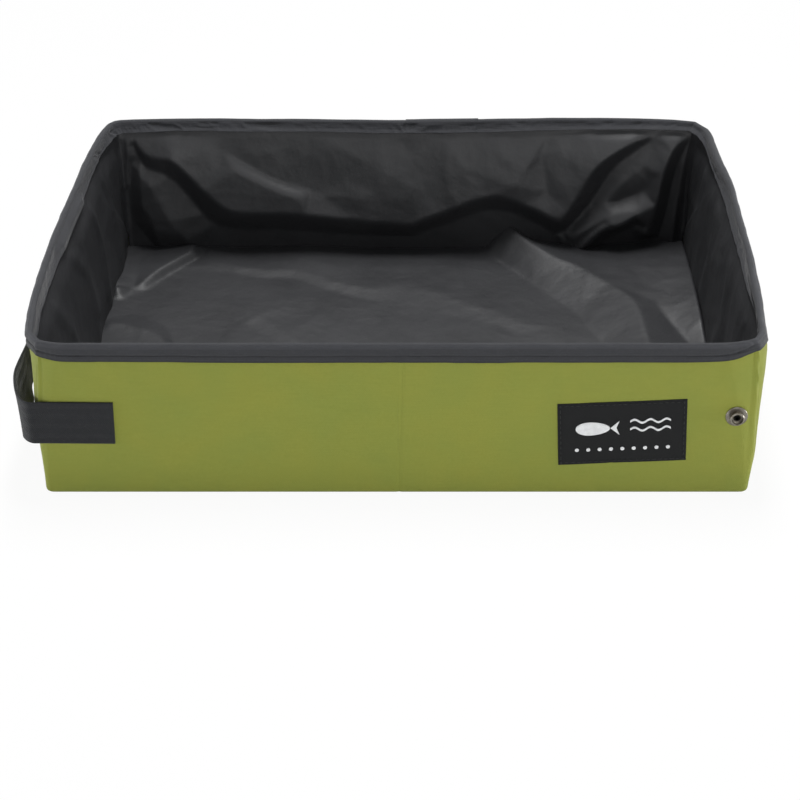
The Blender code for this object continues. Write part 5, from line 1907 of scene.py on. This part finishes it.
# Stage
def area_light(name, place, aim, size, power):
    """A large soft light that faces a point."""
    data = bpy.data.lights.new(name, "AREA")
    data.shape = "RECTANGLE"
    data.size, data.size_y = size
    data.energy = power
    made = placed(name, data)
    made.location = place
    made.rotation_euler = (Vector(aim) - Vector(place)).to_track_quat("-Z", "Y").to_euler()


class TRAY_OT_stage(Operator):
    """Set the pale floor, the soft lights, the world and the camera"""

    bl_idname = "tray.stage"
    bl_label = "Stage"

    def execute(self, context):
        scene = context.scene
        white, floor_tone, floor_glow = (1, 1, 1, 1), (0.86, 0.86, 0.86, 1), 0.94
        mesh = bpy.data.meshes.new("studio_floor")
        shape = bmesh.new()
        bmesh.ops.create_grid(shape, x_segments=1, y_segments=1, size=3.0)
        shape.to_mesh(mesh)
        shape.free()
        floor = placed("studio_floor", mesh)
        floor.location = (0, 0, -0.0004)
        n = Nodes("studio_white")
        tree = n.tree
        rays = n.add("ShaderNodeLightPath")
        seen = n.math(
            "MAXIMUM", rays.outputs["Is Camera Ray"],
            n.math("MAXIMUM", rays.outputs["Is Glossy Ray"], rays.outputs["Is Transmission Ray"]),
        )
        glow = n.add("ShaderNodeEmission")
        glow.inputs["Color"].default_value = white
        glow.inputs["Strength"].default_value = 1.0
        matt = n.add("ShaderNodeBsdfDiffuse")
        matt.inputs["Color"].default_value = floor_tone
        mixed = n.add("ShaderNodeMixShader")
        tree.links.new(n.math("MULTIPLY", seen, floor_glow), mixed.inputs[0])
        tree.links.new(matt.outputs[0], mixed.inputs[1])
        tree.links.new(glow.outputs[0], mixed.inputs[2])
        tree.links.new(mixed.outputs[0], tree.nodes["Material Output"].inputs["Surface"])
        mesh.materials.append(n.material)

        world = bpy.data.worlds.new("studio_world")
        world.use_nodes = True
        scene.world = world
        wt = world.node_tree
        back = wt.nodes["Background"]
        back.inputs["Color"].default_value = (0.95, 0.97, 1.0, 1)
        back.inputs["Strength"].default_value = 0.15
        plain = wt.nodes.new("ShaderNodeBackground")
        plain.inputs["Color"].default_value = white
        plain.inputs["Strength"].default_value = 1.0
        rays = wt.nodes.new("ShaderNodeLightPath")
        both = wt.nodes.new("ShaderNodeMixShader")
        seen = wt.nodes.new("ShaderNodeMath")
        seen.operation = "MAXIMUM"
        wt.links.new(rays.outputs["Is Camera Ray"], seen.inputs[0])
        wt.links.new(rays.outputs["Is Glossy Ray"], seen.inputs[1])
        wt.links.new(seen.outputs[0], both.inputs[0])
        wt.links.new(back.outputs[0], both.inputs[1])
        wt.links.new(plain.outputs[0], both.inputs[2])
        wt.links.new(both.outputs[0], wt.nodes["World Output"].inputs["Surface"])

        area_light("top_light", (0.03, 0.30, 1.60), (0, 0, 0), (0.3, 0.8), 28.5)
        area_light("front_light", (0.50, -1.85, 0.55), (0, 0, 0.05), (1.0, 0.7), 14.8)
        for way in (-1, 1):
            area_light("side_light", (way * 1.3, -0.1, 0.05), (0, 0, 0.05), (0.8, 0.07), 8.0)

        camera = bpy.data.cameras.new("camera")
        camera.lens = 82.49
        camera.sensor_width = 36.0
        camera.shift_x = -0.04596
        made = placed("camera", camera)
        made.location = (CAMERA_SIDE, -CAMERA_BACK, CAMERA_UP)
        made.rotation_euler = (math.pi / 2 - CAMERA_TILT, 0, 0)
        camera.clip_start, camera.clip_end = 0.02, 20.0
        scene.camera = made
        scene.view_settings.view_transform = "Standard"
        return {"FINISHED"}


STEPS = (
    TRAY_OT_outer_cloth,
    TRAY_OT_boards,
    TRAY_OT_lining,
    TRAY_OT_rim_tape,
    TRAY_OT_stitching,
    TRAY_OT_strap,
    TRAY_OT_label,
    TRAY_OT_snaps,
    TRAY_OT_stage,
)


class TRAY_PT_panel(Panel):
    """The tray's sizes, colours and pieces"""

    bl_idname = "TRAY_PT_panel"
    bl_label = "Litter Tray"
    bl_space_type = "VIEW_3D"
    bl_region_type = "UI"
    bl_category = "Litter Tray"

    def draw(self, context):
        layout = self.layout
        for group in (context.scene.tray_sizes, context.scene.tray_colours):
            for name in group.bl_rna.properties.keys():
                if name not in ("rna_type", "name"):
                    layout.prop(group, name)
        for step in STEPS:
            layout.operator(step.bl_idname)


CLASSES = (TrayColours, TraySizes, *STEPS, TRAY_PT_panel)


def register():
    for item in CLASSES:
        bpy.utils.register_class(item)
    bpy.types.Scene.tray_colours = PointerProperty(type=TrayColours)
    bpy.types.Scene.tray_sizes = PointerProperty(type=TraySizes)


def unregister():
    del bpy.types.Scene.tray_sizes
    del bpy.types.Scene.tray_colours
    for item in reversed(CLASSES):
        bpy.utils.unregister_class(item)


def main():
    register()
    for step in STEPS:
        group, name = step.bl_idname.split(".")
        getattr(getattr(bpy.ops, group), name)()


if __name__ == "__main__":
    main()
